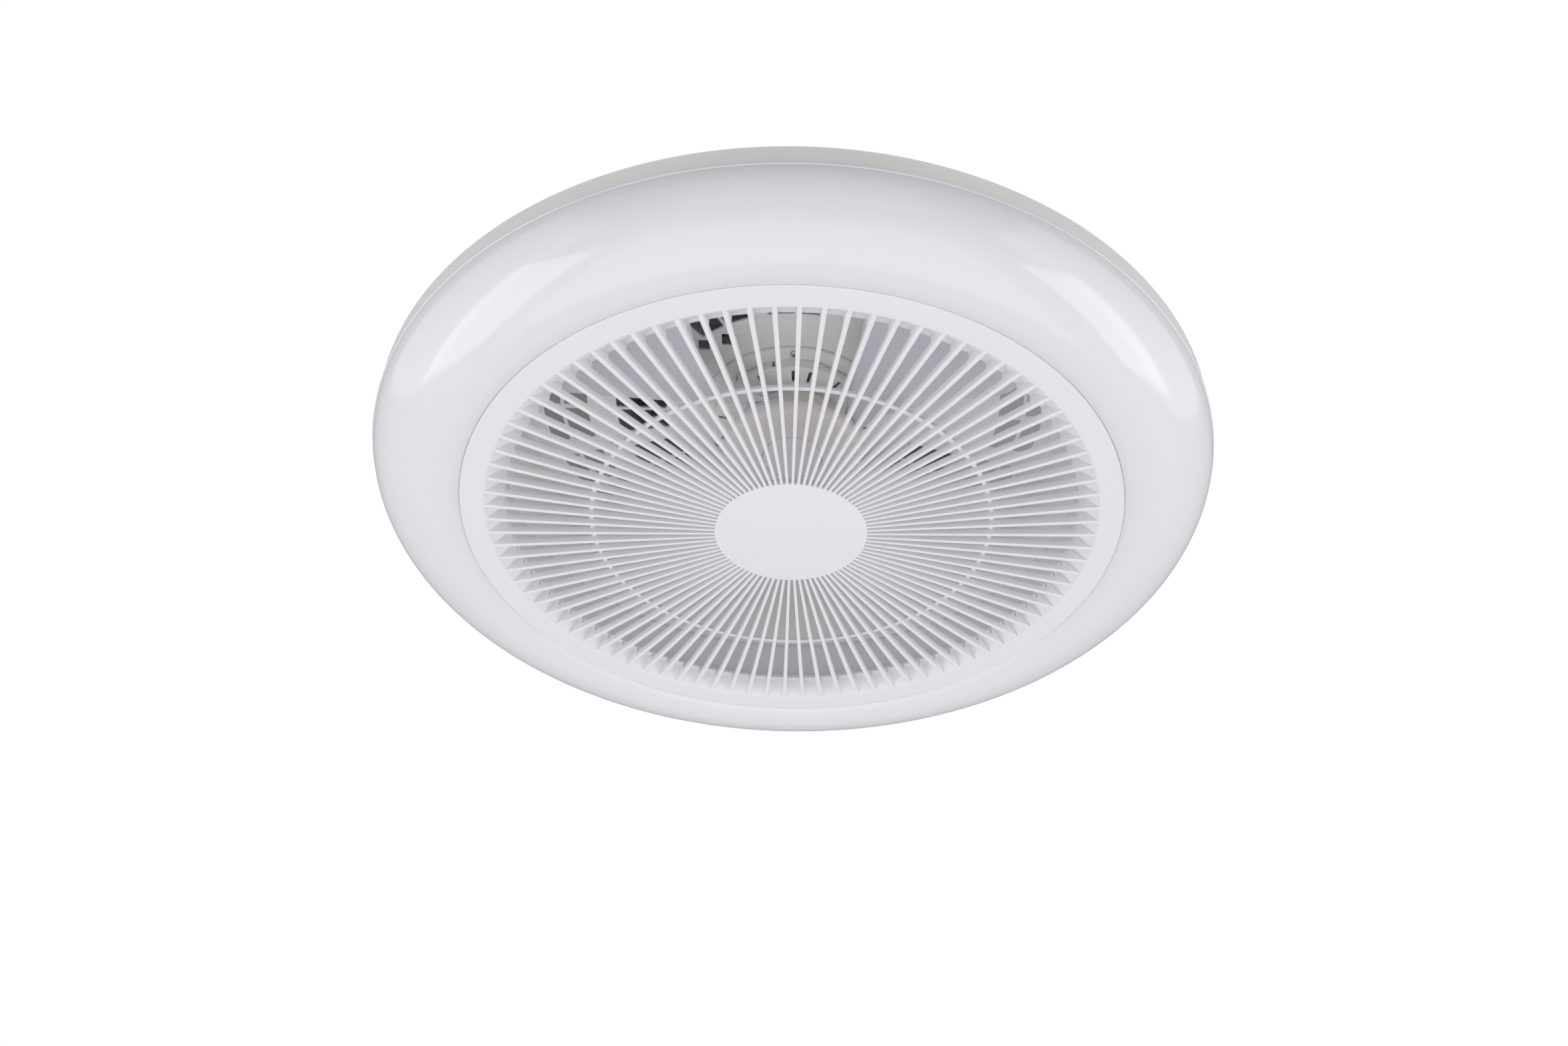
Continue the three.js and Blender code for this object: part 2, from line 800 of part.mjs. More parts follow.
function bladePoint(chord, radius, side) {
  const angle = bladeAngle(radius) + bladeArc(radius) * chord;
  const spread = smooth(radius, hubFlange, hubFlange * 2);
  const lead = mix(leadRoot, leadTip, spread);
  const trail = mix(trailRoot, trailTip, spread);
  const camber = bladeCamber * spread * Math.sin(Math.PI * chord);
  const [x, y] = polar(radius, angle);
  return [x, y, mix(lead, trail, chord) + camber + (side * bladeSkin) / 2];
}

function bladeSheet() {
  const chordSteps = 4;
  const spanSteps = 9;
  const positions = [];
  for (const side of [-1, 1]) {
    for (let i = 0; i <= spanSteps; i += 1) {
      const radius = mix(bladeStart, bladeTip, (i / spanSteps) ** 1.25);
      for (let j = 0; j <= chordSteps; j += 1) {
        positions.push(...bladePoint(j / chordSteps, radius, side));
      }
    }
  }
  const row = chordSteps + 1;
  const layer = row * (spanSteps + 1);
  const index = [];
  const quad = (a, b, c, d) => index.push(a, b, c, a, c, d);
  for (let i = 0; i < spanSteps; i += 1) {
    for (let j = 0; j < chordSteps; j += 1) {
      const a = i * row + j;
      quad(a, a + 1, a + row + 1, a + row);
      quad(layer + a, layer + a + row, layer + a + row + 1, layer + a + 1);
    }
    const lead = i * row;
    const trail = lead + chordSteps;
    quad(lead, lead + row, layer + lead + row, layer + lead);
    quad(trail, layer + trail, layer + trail + row, trail + row);
  }
  for (let j = 0; j < chordSteps; j += 1) {
    const tip = spanSteps * row + j;
    quad(j, layer + j, layer + j + 1, j + 1);
    quad(tip, tip + 1, layer + tip + 1, layer + tip);
  }
  const geometry = new THREE.BufferGeometry();
  geometry.setAttribute('position', new THREE.Float32BufferAttribute(positions, 3));
  geometry.setIndex(index);
  return closed(geometry);
}

function blade(index) {
  const [from, to] = footSpan();
  const padInner = hubRadius + gap;
  const start = bladeAngle(bladeStart);
  const padLead = start + (rootArc - padArc) / 2;
  const foot = sector(padInner, hubFlange, from, to, footLow, footTop);
  const pad = sector(padInner, padInner + bladeSkin * 1.5, padLead, padLead + padArc,
    footLow, leadRoot + bladeSkin);
  const holes = bladeScrewSpots(0).map(([x, y]) => {
    const hole = screwHole(footLow - 1, footTop + 1, x, y);
    return hole.rotateZ(-bladeTurn(0) * degrees);
  });
  const body = cut(join([foot, pad, bladeSheet()]), holes);
  return body.rotateZ(bladeTurn(index) * degrees);
}

function hubCap() {
  const inner = capRadius - capSkin * 1.5;
  const low = hubLow - capDome;
  return turned([
    [0, low],
    [capRadius * 0.6, low + capDome * 0.25],
    [capRadius, hubLow],
    [capRadius, hubFloorLow - gap],
    [inner, hubFloorLow - gap],
    [inner, hubLow + capSkin * 0.5],
    [0, low + capSkin],
  ], smallSteps * 2);
}

function hubWasher() {
  const top = hubFloorLow - gap;
  return turned([
    [shaftRadius + gap, top - washerSheet],
    [washerRadius, top - washerSheet],
    [washerRadius, top],
    [shaftRadius + gap, top],
  ], smallSteps);
}

function hubNut() {
  const top = hubFloorLow - gap - washerSheet - gap;
  const bore = circlePoints(shaftRadius + gap, smallSteps);
  return raised(circlePoints(nutWide, 6), top - nutTall, top, [bore]);
}

// Canopy and ceiling plate

function tabScrews(make) {
  return around(tabCount, nearSide, (angle) => (
    make().rotateY(Math.PI / 2).translate(0, 0, tabScrewHeight).rotateZ(angle * degrees)));
}

function canopy() {
  const shell = turned([
    [canopyRadius - canopyFlange, canopyLow],
    [canopyRadius, canopyLow],
    [canopyRadius, canopyTop],
    [canopyRadius - canopyWall, canopyTop],
    [canopyRadius - canopyWall, canopyLow + canopyWall],
    [canopyRadius - canopyFlange, canopyLow + canopyWall],
  ], smallSteps * 2);
  const sideHoles = tabScrews(() => rod(screwRadius + gap, canopyRadius - 3, canopyRadius + 3));
  const floorHoles = housingScrewSpots().map(([x, y]) => (
    screwHole(canopyLow - 1, canopyLow + canopyWall + 1, x, y)));
  const leadWay = rod(leadHole, -2 * canopyWall, 2 * canopyWall)
    .rotateX(Math.PI / 2).translate(0, canopyRadius - canopyWall / 2, ledLeadHeight())
    .rotateZ(-ledLeadTurn * degrees);
  return cut(shell, [...sideHoles, ...floorHoles, leadWay]);
}

function ceilingPlate() {
  const disc = rod(plateRadius, plateLow, faceDrop, 0, 0, smallSteps * 2);
  const tabs = around(tabCount, nearSide, (angle) => sector(
    plateRadius - plateSheet, plateRadius * Math.cos(Math.PI / (smallSteps * 2)),
    angle - tabArc / 2, angle + tabArc / 2, plateLow - tabTall, plateLow + plateSheet / 2));
  const sideHoles = tabScrews(() => rod(screwRadius + gap, plateRadius - 6, plateRadius + 3));
  const cableHole = rod(cableHoleRadius, plateLow - 1, faceDrop + 1, cableHoleAcross, 0, smallSteps);
  const anchors = [-1, 1].map((side) => (
    block([anchorSlotWide, anchorSlotLong, plateSheet + 2], 0, side * anchorSlotRadius,
      plateLow - 1)));
  return cut(join([disc, ...tabs]), [...sideHoles, cableHole, ...anchors]);
}

function cableGrommet() {
  const neck = cableHoleRadius - gap;
  return turned([
    [grommetBore, plateLow - plateSheet - gap],
    [grommetFlange, plateLow - plateSheet - gap],
    [grommetFlange, plateLow - gap],
    [neck, plateLow - gap],
    [neck, faceDrop - gap],
    [grommetBore, faceDrop - gap],
  ], smallSteps).translate(cableHoleAcross, 0, 0);
}

// What the canopy holds

function electronicsBox([long, wide, tall], along) {
  const ear = 5;
  const body = block([long - 2 * ear, wide, tall], 0, along, floorOfBoxes);
  const foot = block([long, wide * 0.6, 2], 0, along, floorOfBoxes);
  return join([body, foot]);
}

function terminalBlock() {
  const [wide, long, tall] = terminalSize;
  const body = block(terminalSize, terminalAcross, 0, floorOfBoxes);
  const wells = [-1, 0, 1].map((way) => (
    rod(3, floorOfBoxes + tall - 4, floorOfBoxes + tall + 1, terminalAcross - wide / 5,
      (way * long) / 3.4)));
  const mouths = [-1, 0, 1].map((way) => (
    block([6, 6, 5], terminalAcross + wide / 2 - 1, (way * long) / 3.4, floorOfBoxes + 3)));
  return cut(body, [...wells, ...mouths]);
}

// A cable along straight runs joined by quarter bends.
function cable(corners, bend, radius) {
  const path = new THREE.CurvePath();
  let from = corners[0];
  for (let i = 1; i < corners.length - 1; i += 1) {
    const back = corners[i - 1].clone().sub(corners[i]).normalize().multiplyScalar(bend);
    const on = corners[i + 1].clone().sub(corners[i]).normalize().multiplyScalar(bend);
    const enter = corners[i].clone().add(back);
    const leave = corners[i].clone().add(on);
    path.add(new THREE.LineCurve3(from, enter));
    path.add(new THREE.QuadraticBezierCurve3(enter, corners[i], leave));
    from = leave;
  }
  path.add(new THREE.LineCurve3(from, corners.at(-1)));
  const steps = 4 * corners.length + 4;
  const shape = new THREE.Shape(circlePoints(radius, 8).map(([x, y]) => new THREE.Vector2(x, y)));
  const geometry = new THREE.ExtrudeGeometry(shape, { steps, extrudePath: path });
  return closed(geometry);
}

function motorLead() {
  const boxSide = controllerAlong + controllerSize[1] / 2 + gap;
  const high = floorOfBoxes + leadStart;
  const low = statorLow + statorTall + gap + coilWall + gap + boardSheet + gap;
  return cable([
    new THREE.Vector3(0, boxSide, high),
    new THREE.Vector3(0, leadAlong, high),
    new THREE.Vector3(0, leadAlong, low),
  ], 5, leadRadius);
}

function ledLeadHeight() {
  return housingTop + gap + ledLeadRadius + leadClear;
}

function ledLeadDown() {
  return flangeRadius + ledLeadRadius + leadClear;
}

function ledLead() {
  const face = driverAlong + driverSize[1] / 2 + gap;
  const turn = ledLeadTurn * degrees;
  const start = face / Math.cos(turn) + ledLeadRadius * Math.tan(turn);
  const outside = housingInner + housingWall + ledLeadRadius + leadClear;
  const over = flangeTop + ledLeadRadius + leadClear;
  return cable([
    new THREE.Vector3(0, start, ledLeadHeight()),
    new THREE.Vector3(0, outside, ledLeadHeight()),
    new THREE.Vector3(0, outside, over),
    new THREE.Vector3(0, ledLeadDown(), over),
    new THREE.Vector3(0, ledLeadDown(), boardLow + boardSheet + gap),
  ], 3.5, ledLeadRadius).rotateZ(-turn);
}

// Materials

const looks = {
  whitePlastic: { color: 0xf2f1f4, roughness: 0.45, metalness: 0 },
  opalPlastic: { color: 0xf1f0f5, roughness: 0.22, metalness: 0 },
  rimPaint: { color: 0xc2c4c2, roughness: 0.5, metalness: 0 },
  housingPlastic: { color: 0xd9d9dc, roughness: 0.55, metalness: 0 },
  hubPlastic: { color: 0xd8d2cc, roughness: 0.5, metalness: 0 },
  steel: { color: 0xb9bcc0, roughness: 0.35, metalness: 1 },
  zinc: { color: 0xaeb2b6, roughness: 0.45, metalness: 1 },
  lamination: { color: 0x74767a, roughness: 0.5, metalness: 1 },
  copper: { color: 0xb4683c, roughness: 0.35, metalness: 1 },
  magnet: { color: 0x3a3b3f, roughness: 0.6, metalness: 0 },
  boardWhite: { color: 0xf4f4f2, roughness: 0.5, metalness: 0 },
  boardGreen: { color: 0x2f6b45, roughness: 0.45, metalness: 0 },
  blackPlastic: { color: 0x242527, roughness: 0.5, metalness: 0 },
  whiteBox: { color: 0xe6e6e4, roughness: 0.6, metalness: 0 },
  rubber: { color: 0x2b2b2c, roughness: 0.8, metalness: 0 },
};

const group = new THREE.Group();
group.position.z = -faceDrop;

function add(name, geometry, look) {
  const mesh = new THREE.Mesh(geometry, new THREE.MeshStandardMaterial(looks[look]));
  mesh.name = name;
  group.add(mesh);
}

function addEach(name, geometries, look) {
  geometries.forEach((geometry, i) => add(`${name}_${i + 1}`, geometry, look));
}

// What stays with the ceiling
add('ceiling_plate', ceilingPlate(), 'zinc');
add('cable_grommet', cableGrommet(), 'rubber');
add('canopy', canopy(), 'whitePlastic');
addEach('canopy_screw', tabScrews(() => screw(canopyRadius + gap, canopyRadius - 6, 0, 0)), 'steel');
addEach('housing_screw', housingScrewSpots().map(([x, y]) => (
  screw(canopyLow + canopyWall + gap, housingFloor - 1, x, y))), 'steel');
add('led_driver', electronicsBox(driverSize, driverAlong), 'whiteBox');
add('motor_controller', electronicsBox(controllerSize, controllerAlong), 'blackPlastic');
add('terminal_block', terminalBlock(), 'whiteBox');
add('motor_lead', motorLead(), 'rubber');
add('led_lead', ledLead(), 'rubber');
add('rear_housing', rearHousing(), 'housingPlastic');
add('motor_mount', motorMount(), 'housingPlastic');
addEach('motor_screw', motorScrewSpots().map(([x, y]) => (
  screw(mountTop - mountWall - gap, housingTop - gap, x, y))), 'steel');
add('stator_core', statorCore(), 'lamination');
add('stator_windings', statorWindings(), 'copper');
add('stator_board', statorBoard(), 'boardGreen');
add('bearing_lower', bearing(tubeLow + gap), 'steel');
add('bearing_upper', bearing(mountFloor - gap - bearingWide), 'steel');
add('lamp_pan', lampPan(), 'rimPaint');
addEach('pan_screw', panScrewSpots().map(([x, y]) => (
  screw(flangeTop + gap, seatTop - seatSkin - 1, x, y))), 'steel');
add('grille_seat', grilleSeat(), 'whitePlastic');
add('led_board', ledBoard(), 'boardWhite');
addEach('board_screw', boardScrewSpots().map(([x, y]) => (
  screw(boardLow - gap, panTop - gap, x, y))), 'steel');
add('diffuser', diffuser(), 'opalPlastic');

// What turns
add('motor_shaft', rod(shaftRadius, shaftLow, shaftTop, 0, 0, smallSteps), 'steel');
add('retaining_clip', retainingClip(), 'steel');
add('rotor_bell', rotorBell(), 'zinc');
add('magnet_ring', magnetRing(), 'magnet');
add('blade_hub', bladeHub(), 'hubPlastic');
for (let i = 0; i < bladeCount; i += 1) add(`blade_${i + 1}`, blade(i), 'whitePlastic');
addEach('blade_screw', allBladeScrewSpots().map(([x, y]) => (
  screw(footTop + gap, hubFlangeTop - 4, x, y))), 'steel');
add('hub_washer', hubWasher(), 'steel');
add('hub_nut', hubNut(), 'steel');
add('hub_cap', hubCap(), 'whitePlastic');

// What twists off
add('grille', grille(), 'whitePlastic');

export default group;
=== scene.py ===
# Flush ceiling fan behind a round grille of straight ribs, with an opal ring light.
# Sizes in the dictionaries are in millimetres, and heights count up from the grille's rib faces,
# which hang faceDrop below the ceiling. toMetres() brings both into the frame.

import math

import bmesh
import bpy
import numpy as np
from mathutils import Matrix, Vector
from mathutils.geometry import tessellate_polygon


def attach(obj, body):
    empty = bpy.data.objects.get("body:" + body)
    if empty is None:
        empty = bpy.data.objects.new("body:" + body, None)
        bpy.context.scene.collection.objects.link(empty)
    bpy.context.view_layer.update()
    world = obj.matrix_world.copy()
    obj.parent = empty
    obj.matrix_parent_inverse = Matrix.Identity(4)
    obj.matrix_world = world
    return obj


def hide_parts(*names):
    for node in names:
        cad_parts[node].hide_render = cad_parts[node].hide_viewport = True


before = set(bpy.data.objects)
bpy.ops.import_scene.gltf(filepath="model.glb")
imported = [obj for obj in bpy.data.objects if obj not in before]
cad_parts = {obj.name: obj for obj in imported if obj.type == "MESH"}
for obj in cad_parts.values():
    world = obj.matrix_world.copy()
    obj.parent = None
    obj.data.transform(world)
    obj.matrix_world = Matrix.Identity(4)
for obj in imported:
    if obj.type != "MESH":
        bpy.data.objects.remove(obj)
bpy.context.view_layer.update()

faceDrop = 200
pi = math.pi

print("frame loaded:", len(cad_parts), "CAD nodes")


# Millimetres over the rib faces become metres in the frame.
def toMetres(points):
    return (np.asarray(points, float).reshape(-1, 3) - (0, 0, faceDrop)) / 1000


# A point for each row and column of a grid, joined to its next neighbours both ways.
def gridFaces(rows, columns, wrapRows, wrapColumns):
    i, j = np.meshgrid(
        np.arange(rows if wrapRows else rows - 1),
        np.arange(columns if wrapColumns else columns - 1),
        indexing="ij",
    )
    nextI, nextJ = (i + 1) % rows, (j + 1) % columns
    corners = [i * columns + j, nextI * columns + j, nextI * columns + nextJ, i * columns + nextJ]
    return np.stack(corners, -1).reshape(-1, 4)


# Each corner becomes a quadratic curve that starts and ends radius away from it.
def softened(outline, radius, steps=4, loop=True):
    corner = np.asarray(outline, float)
    reach = np.broadcast_to(np.asarray(radius, float), len(corner))[:, None]
    ends = []
    for way in (1, -1):
        side = np.roll(corner, way, 0) - corner
        length = np.maximum(np.linalg.norm(side, axis=1, keepdims=True), 1e-9)
        ends.append(corner + side / length * np.minimum(reach, length * 0.46))
    s = np.linspace(0, 1, steps + 1)[None, :, None]
    curve = (1 - s) ** 2 * ends[0][:, None] + 2 * s * (1 - s) * corner[:, None] + s**2 * ends[1][:, None]
    if not loop:
        curve[0], curve[-1] = corner[0], corner[-1]
    return curve.reshape(-1, corner.shape[1])


# x = r cos(angle), y = r sin(angle), z = h, for a profile of (r, h) carried round the axis.
def turned(profile, steps=192, loop=True):
    r, h = np.asarray(profile, float).T
    angle = np.linspace(0, 2 * pi, steps, endpoint=False)
    points = [np.outer(np.cos(angle), r), np.outer(np.sin(angle), r), np.tile(h, (steps, 1))]
    return np.stack(points, -1).reshape(-1, 3), gridFaces(steps, len(r), True, loop)


# (x, y) = r (cos, sin) of an angle in degrees.
def polar(radius, angle):
    turn = np.radians(angle)
    return np.stack([radius * np.cos(turn), radius * np.sin(turn)], -1)


# A circle about (x, y), as a closed outline.
def circle(radius, steps=96, x=0, y=0):
    return polar(radius, np.linspace(0, 360, steps, endpoint=False)) + (x, y)


# A rectangle with round corners, its long sides cut into short steps so that it can be bent.
def roundedBox(wide, tall, radius, x=0, y=0, step=4):
    half = np.array([wide, tall]) / 2
    soft = softened(np.array([(-1, -1), (1, -1), (1, 1), (-1, 1)]) * half, radius, 5)
    after = np.roll(soft, -1, 0)
    cuts = np.maximum(1, np.ceil(np.linalg.norm(after - soft, axis=1) / step)).astype(int)
    dense = [a + (b - a) * (np.arange(n) / n)[:, None] for a, b, n in zip(soft, after, cuts)]
    return np.concatenate(dense) + (x, y)


# The same rectangle bent round the axis: across becomes an angle, up becomes a radius.
def sectorOutline(inner, outer, fromAngle, toAngle, radius):
    middle = (inner + outer) / 2
    arc = math.radians(toAngle - fromAngle) * middle
    flat = roundedBox(arc, outer - inner, radius)
    return polar(middle + flat[:, 1], (fromAngle + toAngle) / 2 - np.degrees(flat[:, 0] / middle))


# Outline and holes raised from low to high. At height t over the edge the outline stands back by
# edge * (1 - sqrt(1 - (1 - t / edge)^2)), a quarter round.
def plate(outlines, low, high, edge=0.4, roundSteps=2):
    rings, counts = [], []
    for number, outline in enumerate(outlines):
        outline = np.asarray(outline, float)
        x, y = outline.T
        area = np.sum(x * np.roll(y, -1) - y * np.roll(x, -1))
        if (area > 0) != (number == 0):
            outline = outline[::-1]
        along = np.roll(outline, -1, 0) - np.roll(outline, 1, 0)
        along /= np.maximum(np.linalg.norm(along, axis=1, keepdims=True), 1e-9)
        inward = np.stack([-along[:, 1], along[:, 0]], -1)
        angle = np.linspace(0, pi / 2, roundSteps + 1)
        back = edge * (1 - np.sin(angle))
        rise = edge * (1 - np.cos(angle))
        levels = [(b, low + t) for b, t in zip(back, rise)]
        levels += [(b, high - t) for b, t in zip(back, rise)][::-1]
        rings.append([np.column_stack([outline + inward * b, np.full(len(outline), z)]) for b, z in levels])
        counts.append(len(outline))
    points, faces, start = [], [], 0
    for ring, count in zip(rings, counts):
        points.append(np.concatenate(ring))
        faces.append(gridFaces(len(ring), count, False, True)[:, ::-1] + start)
        start += len(ring) * count
    levelCount = len(rings[0])
    starts = np.cumsum([0] + [levelCount * c for c in counts])[:-1]
    lowIndex = np.concatenate([s + np.arange(c) for s, c in zip(starts, counts)])
    highIndex = lowIndex + np.repeat([(levelCount - 1) * c for c in counts], counts)
    cover = tessellate_polygon([[Vector(p) for p in ring[0]] for ring in rings])
    cover = np.array(cover, int)
    faces = [f for group in faces for f in group.tolist()]
    faces += lowIndex[cover].tolist() + highIndex[cover][:, ::-1].tolist()
    return np.concatenate(points), faces


# A round section of that radius carried along a path that lies in an upright plane.
def tube(path, radius, sides=16):
    path = np.asarray(path, float)
    along = np.gradient(path, axis=0)
    along /= np.linalg.norm(along, axis=1, keepdims=True)
    reach = path[-1] - path[0]
    across = np.cross((reach[0], reach[1], 0) if np.hypot(*reach[:2]) > 1e-6 else (0, 1, 0), (0, 0, 1))
    across = across / np.linalg.norm(across)
    over = np.cross(along, across)
    angle = np.linspace(0, 2 * pi, sides, endpoint=False)
    ring = np.cos(angle)[None, :, None] * across + np.sin(angle)[None, :, None] * over[:, None]
    points = (path[:, None] + radius * ring).reshape(-1, 3)
    faces = gridFaces(len(path), sides, False, True).tolist()
    faces += [list(range(sides)), list(range(len(points) - 1, len(points) - 1 - sides, -1))]
    return points, faces


# Several closed forms in one mesh.
def together(*forms):
    points, faces, start = [], [], 0
    for formPoints, formFaces in forms:
        points.append(np.asarray(formPoints, float))
        faces += [[int(k) + start for k in face] for face in formFaces]
        start += len(formPoints)
    return np.concatenate(points), faces


# The form turned by an angle in degrees about the fan's axis.
def turnedBy(form, angle):
    turn = math.radians(angle)
    matrix = np.array([[math.cos(turn), -math.sin(turn), 0], [math.sin(turn), math.cos(turn), 0], [0, 0, 1]])
    return np.asarray(form[0]) @ matrix.T, form[1]


# A band's section: the four (radius, height) corners.
def bandSection(inner, outer, low, high):
    return [(inner, low), (outer, low), (outer, high), (inner, high)]


# a at share 0, b at share 1, and straight between.
def mix(a, b, share):
    return a + (b - a) * share


# 0 up to start, 1 from end, and s^2 (3 - 2 s) between, s being the share of the way.
def smooth(value, start, end):
    share = np.clip((value - start) / (end - start), 0, 1)
    return share * share * (3 - 2 * share)


# Puts a form into a mesh: doubles merged, faces turned out, edges sharper than sharpAngle kept.
def makePiece(name, form, body, material, standsFor=(), sharpAngle=32):
    mesh = bpy.data.meshes.new(name)
    faces = [list(map(int, face)) for face in form[1]]
    mesh.from_pydata(toMetres(form[0]).tolist(), [], faces)
    work = bmesh.new()
    work.from_mesh(mesh)
    bmesh.ops.remove_doubles(work, verts=work.verts, dist=2e-6)
    bmesh.ops.dissolve_degenerate(work, edges=work.edges, dist=1e-7)
    bmesh.ops.recalc_face_normals(work, faces=work.faces)
    work.to_mesh(mesh)
    work.free()
    mesh.shade_smooth()
    mesh.set_sharp_from_angle(angle=math.radians(sharpAngle))
    mesh.materials.append(material)
    piece = bpy.data.objects.new(name, mesh)
    bpy.context.scene.collection.objects.link(piece)
    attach(piece, body)
    if standsFor:
        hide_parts(*standsFor)
    return piece


# An sRGB hex value as linear red, green and blue, with an alpha of 1.
def fromHex(text):
    channels = [int(text[k : k + 2], 16) / 255 for k in (1, 3, 5)]
    return [c / 12.92 if c <= 0.04045 else ((c + 0.055) / 1.055) ** 2.4 for c in channels] + [1]


# Texture scale that makes a pattern about this many millimetres across.
def grain(millimetres):
    return 1000 / millimetres


# One node: properties by name, socket values and links by the socket's name or number.
def addNode(tree, kind, values=None, links=None, **properties):
    node = tree.nodes.new(kind)
    for key, value in properties.items():
        setattr(node, key, value)
    for socket, value in (values or {}).items():
        node.inputs[socket].default_value = value
    for socket, source in (links or {}).items():
        tree.links.new(source, node.inputs[socket])
    return node


# A surface whose colour drifts between two hex values, whose roughness drifts by roughDrift, and
# whose height is a noise of grainSize. stretch squeezes the grain along an axis, as brushing does.
# With cells the drift goes by crystals instead. Other sockets of the shader go by their names.
def makeMaterial(name, colour, drift, roughness, ior=1.5, metallic=0, driftSize=40, roughDrift=0.04,
                 grainSize=1.5, grainHeight=0.02, stretch=(1, 1, 1), cells=False, **sockets):
    material = bpy.data.materials.new(name)
    material.use_nodes = True
    tree = material.node_tree
    shader = tree.nodes["Principled BSDF"]
    place = addNode(tree, "ShaderNodeTexCoord").outputs["Object"]
    spread = {"Scale": grain(driftSize)}
    if cells:
        crystals = addNode(tree, "ShaderNodeTexVoronoi", spread, {"Vector": place}).outputs["Color"]
        share = addNode(tree, "ShaderNodeSeparateColor", links={"Color": crystals}).outputs["Red"]
    else:
        share = addNode(tree, "ShaderNodeTexNoise", {**spread, "Detail": 3}, {"Vector": place}).outputs["Fac"]
    toneEnds = {6: fromHex(colour), 7: fromHex(drift)}
    tone = addNode(tree, "ShaderNodeMix", toneEnds, {0: share}, data_type="RGBA")
    roughEnds = {"To Min": roughness - roughDrift, "To Max": roughness + roughDrift}
    gloss = addNode(tree, "ShaderNodeMapRange", roughEnds, {"Value": share})
    squeezed = addNode(tree, "ShaderNodeMapping", {"Scale": stretch}, {"Vector": place}).outputs["Vector"]
    fine = addNode(tree, "ShaderNodeTexNoise", {"Scale": grain(grainSize), "Detail": 2}, {"Vector": squeezed})
    depth = {"Strength": 1, "Distance": grainHeight / 1000}
    bump = addNode(tree, "ShaderNodeBump", depth, {"Height": fine.outputs["Fac"]})
    tree.links.new(tone.outputs[2], shader.inputs["Base Color"])
    tree.links.new(gloss.outputs["Result"], shader.inputs["Roughness"])
    tree.links.new(bump.outputs["Normal"], shader.inputs["Normal"])
    shader.inputs["Metallic"].default_value = metallic
    if not metallic:
        shader.inputs["IOR"].default_value = ior
    for socket, value in sockets.items():
        shader.inputs[socket.replace("_", " ")].default_value = value
    return material


# ABS, injection moulded in a finely textured tool: an even white with a soft satin sheen.
# The tool's grain is about 0.1 mm, drawn 1.2 mm wide so that a render can show it.
grilleAbs = makeMaterial(
    "mouldedAbsWhite", "#efeef2", "#ecebf0", 0.46, ior=1.53, grainSize=1.2, grainHeight=0.012,
)
# Polypropylene blades: a little greyer, and smoother where the air runs over them.
bladePolypropylene = makeMaterial(
    "mouldedPolypropyleneWhite", "#e0dfe6", "#dcdbe2", 0.4, ior=1.49, grainHeight=0.01,
)
# Opal acrylic, vacuum formed: glossy, milky, with long soft reflections.
opalAcrylic = makeMaterial(
    "opalAcrylic", "#f1f0f5", "#efeef4", 0.12, ior=1.49, driftSize=120, roughDrift=0.01, grainSize=60,
    Subsurface_Weight=0.25, Subsurface_Radius=(0.006, 0.006, 0.0065), Subsurface_Scale=1.0,
    Specular_IOR_Level=0.6,
)
# Steel, powder coated light grey: the coat's orange peel is about 2 mm from crest to crest.
rimPowderCoat = makeMaterial(
    "greyPowderCoatedSteel", "#f6f6f4", "#f2f3f0", 0.48, driftSize=60, grainSize=2, grainHeight=0.03,
)
# The canopy's steel has the same coat in white.
canopyPowderCoat = makeMaterial(
    "whitePowderCoatedSteel", "#eeeef0", "#eaeaec", 0.45, driftSize=60, grainSize=2, grainHeight=0.03,
)
# Glass filled polypropylene housing: matt and slightly cloudy, as the glass shows in the skin.
housingPolypropylene = makeMaterial("glassFilledPolypropylene", "#f8faf6", "#f4f6f2", 0.55, driftSize=18)
# Cream polyamide hub: warmer than the blades, with a waxy sheen.
hubPolyamide = makeMaterial("creamPolyamide", "#f3f0eb", "#efebe5", 0.42, ior=1.53, driftSize=20)
# Hot-dip galvanised sheet: crystals about 9 mm wide, each with its own grey and gloss.
galvanised = makeMaterial(
    "galvanisedSheet", "#c3c6c9", "#a4a8ac", 0.38, metallic=1, driftSize=9, roughDrift=0.1,
    grainHeight=0.01, cells=True,
)
# Zinc-plated screw steel: bright, faintly blue, with fine turning marks round the axis.
zincPlated = makeMaterial(
    "zincPlatedSteel", "#cdd1d6", "#bfc3ca", 0.28, metallic=1, driftSize=3, roughDrift=0.06,
    grainSize=0.5, grainHeight=0.01, stretch=(0.3, 0.3, 2),
)
# Ground bearing steel: nearly a mirror, with the finest marks of all.
bearingSteel = makeMaterial(
    "groundBearingSteel", "#d0d2d4", "#c4c6c9", 0.18, metallic=1, driftSize=4,
    grainSize=0.4, grainHeight=0.004, stretch=(0.2, 0.2, 3),
)
# Electrical steel sheets 0.5 mm thick, varnished: the grain is squeezed into layers up the stack.
laminatedSteel = makeMaterial(
    "laminatedElectricalSteel", "#8b8d91", "#6d6f73", 0.42, metallic=1, driftSize=5,
    grainSize=0.5, grainHeight=0.06, stretch=(0.05, 0.05, 1),
)
# Enamelled copper wire 0.6 mm thick, wound in close turns: glossy amber over copper.
enamelledCopper = makeMaterial(
    "enamelledCopperWire", "#c8713c", "#a9562a", 0.26, metallic=1, driftSize=6,
    grainSize=0.6, grainHeight=0.05, stretch=(0.2, 0.2, 1), Coat_Weight=0.6, Coat_Roughness=0.15,
)
# Glass epoxy board under green solder mask: the weave shows through, about 0.8 mm a thread.
greenBoard = makeMaterial(
    "glassEpoxyGreen", "#2f7048", "#28623f", 0.34, ior=1.55, driftSize=0.8,
    grainSize=0.8, grainHeight=0.01, cells=True,
)
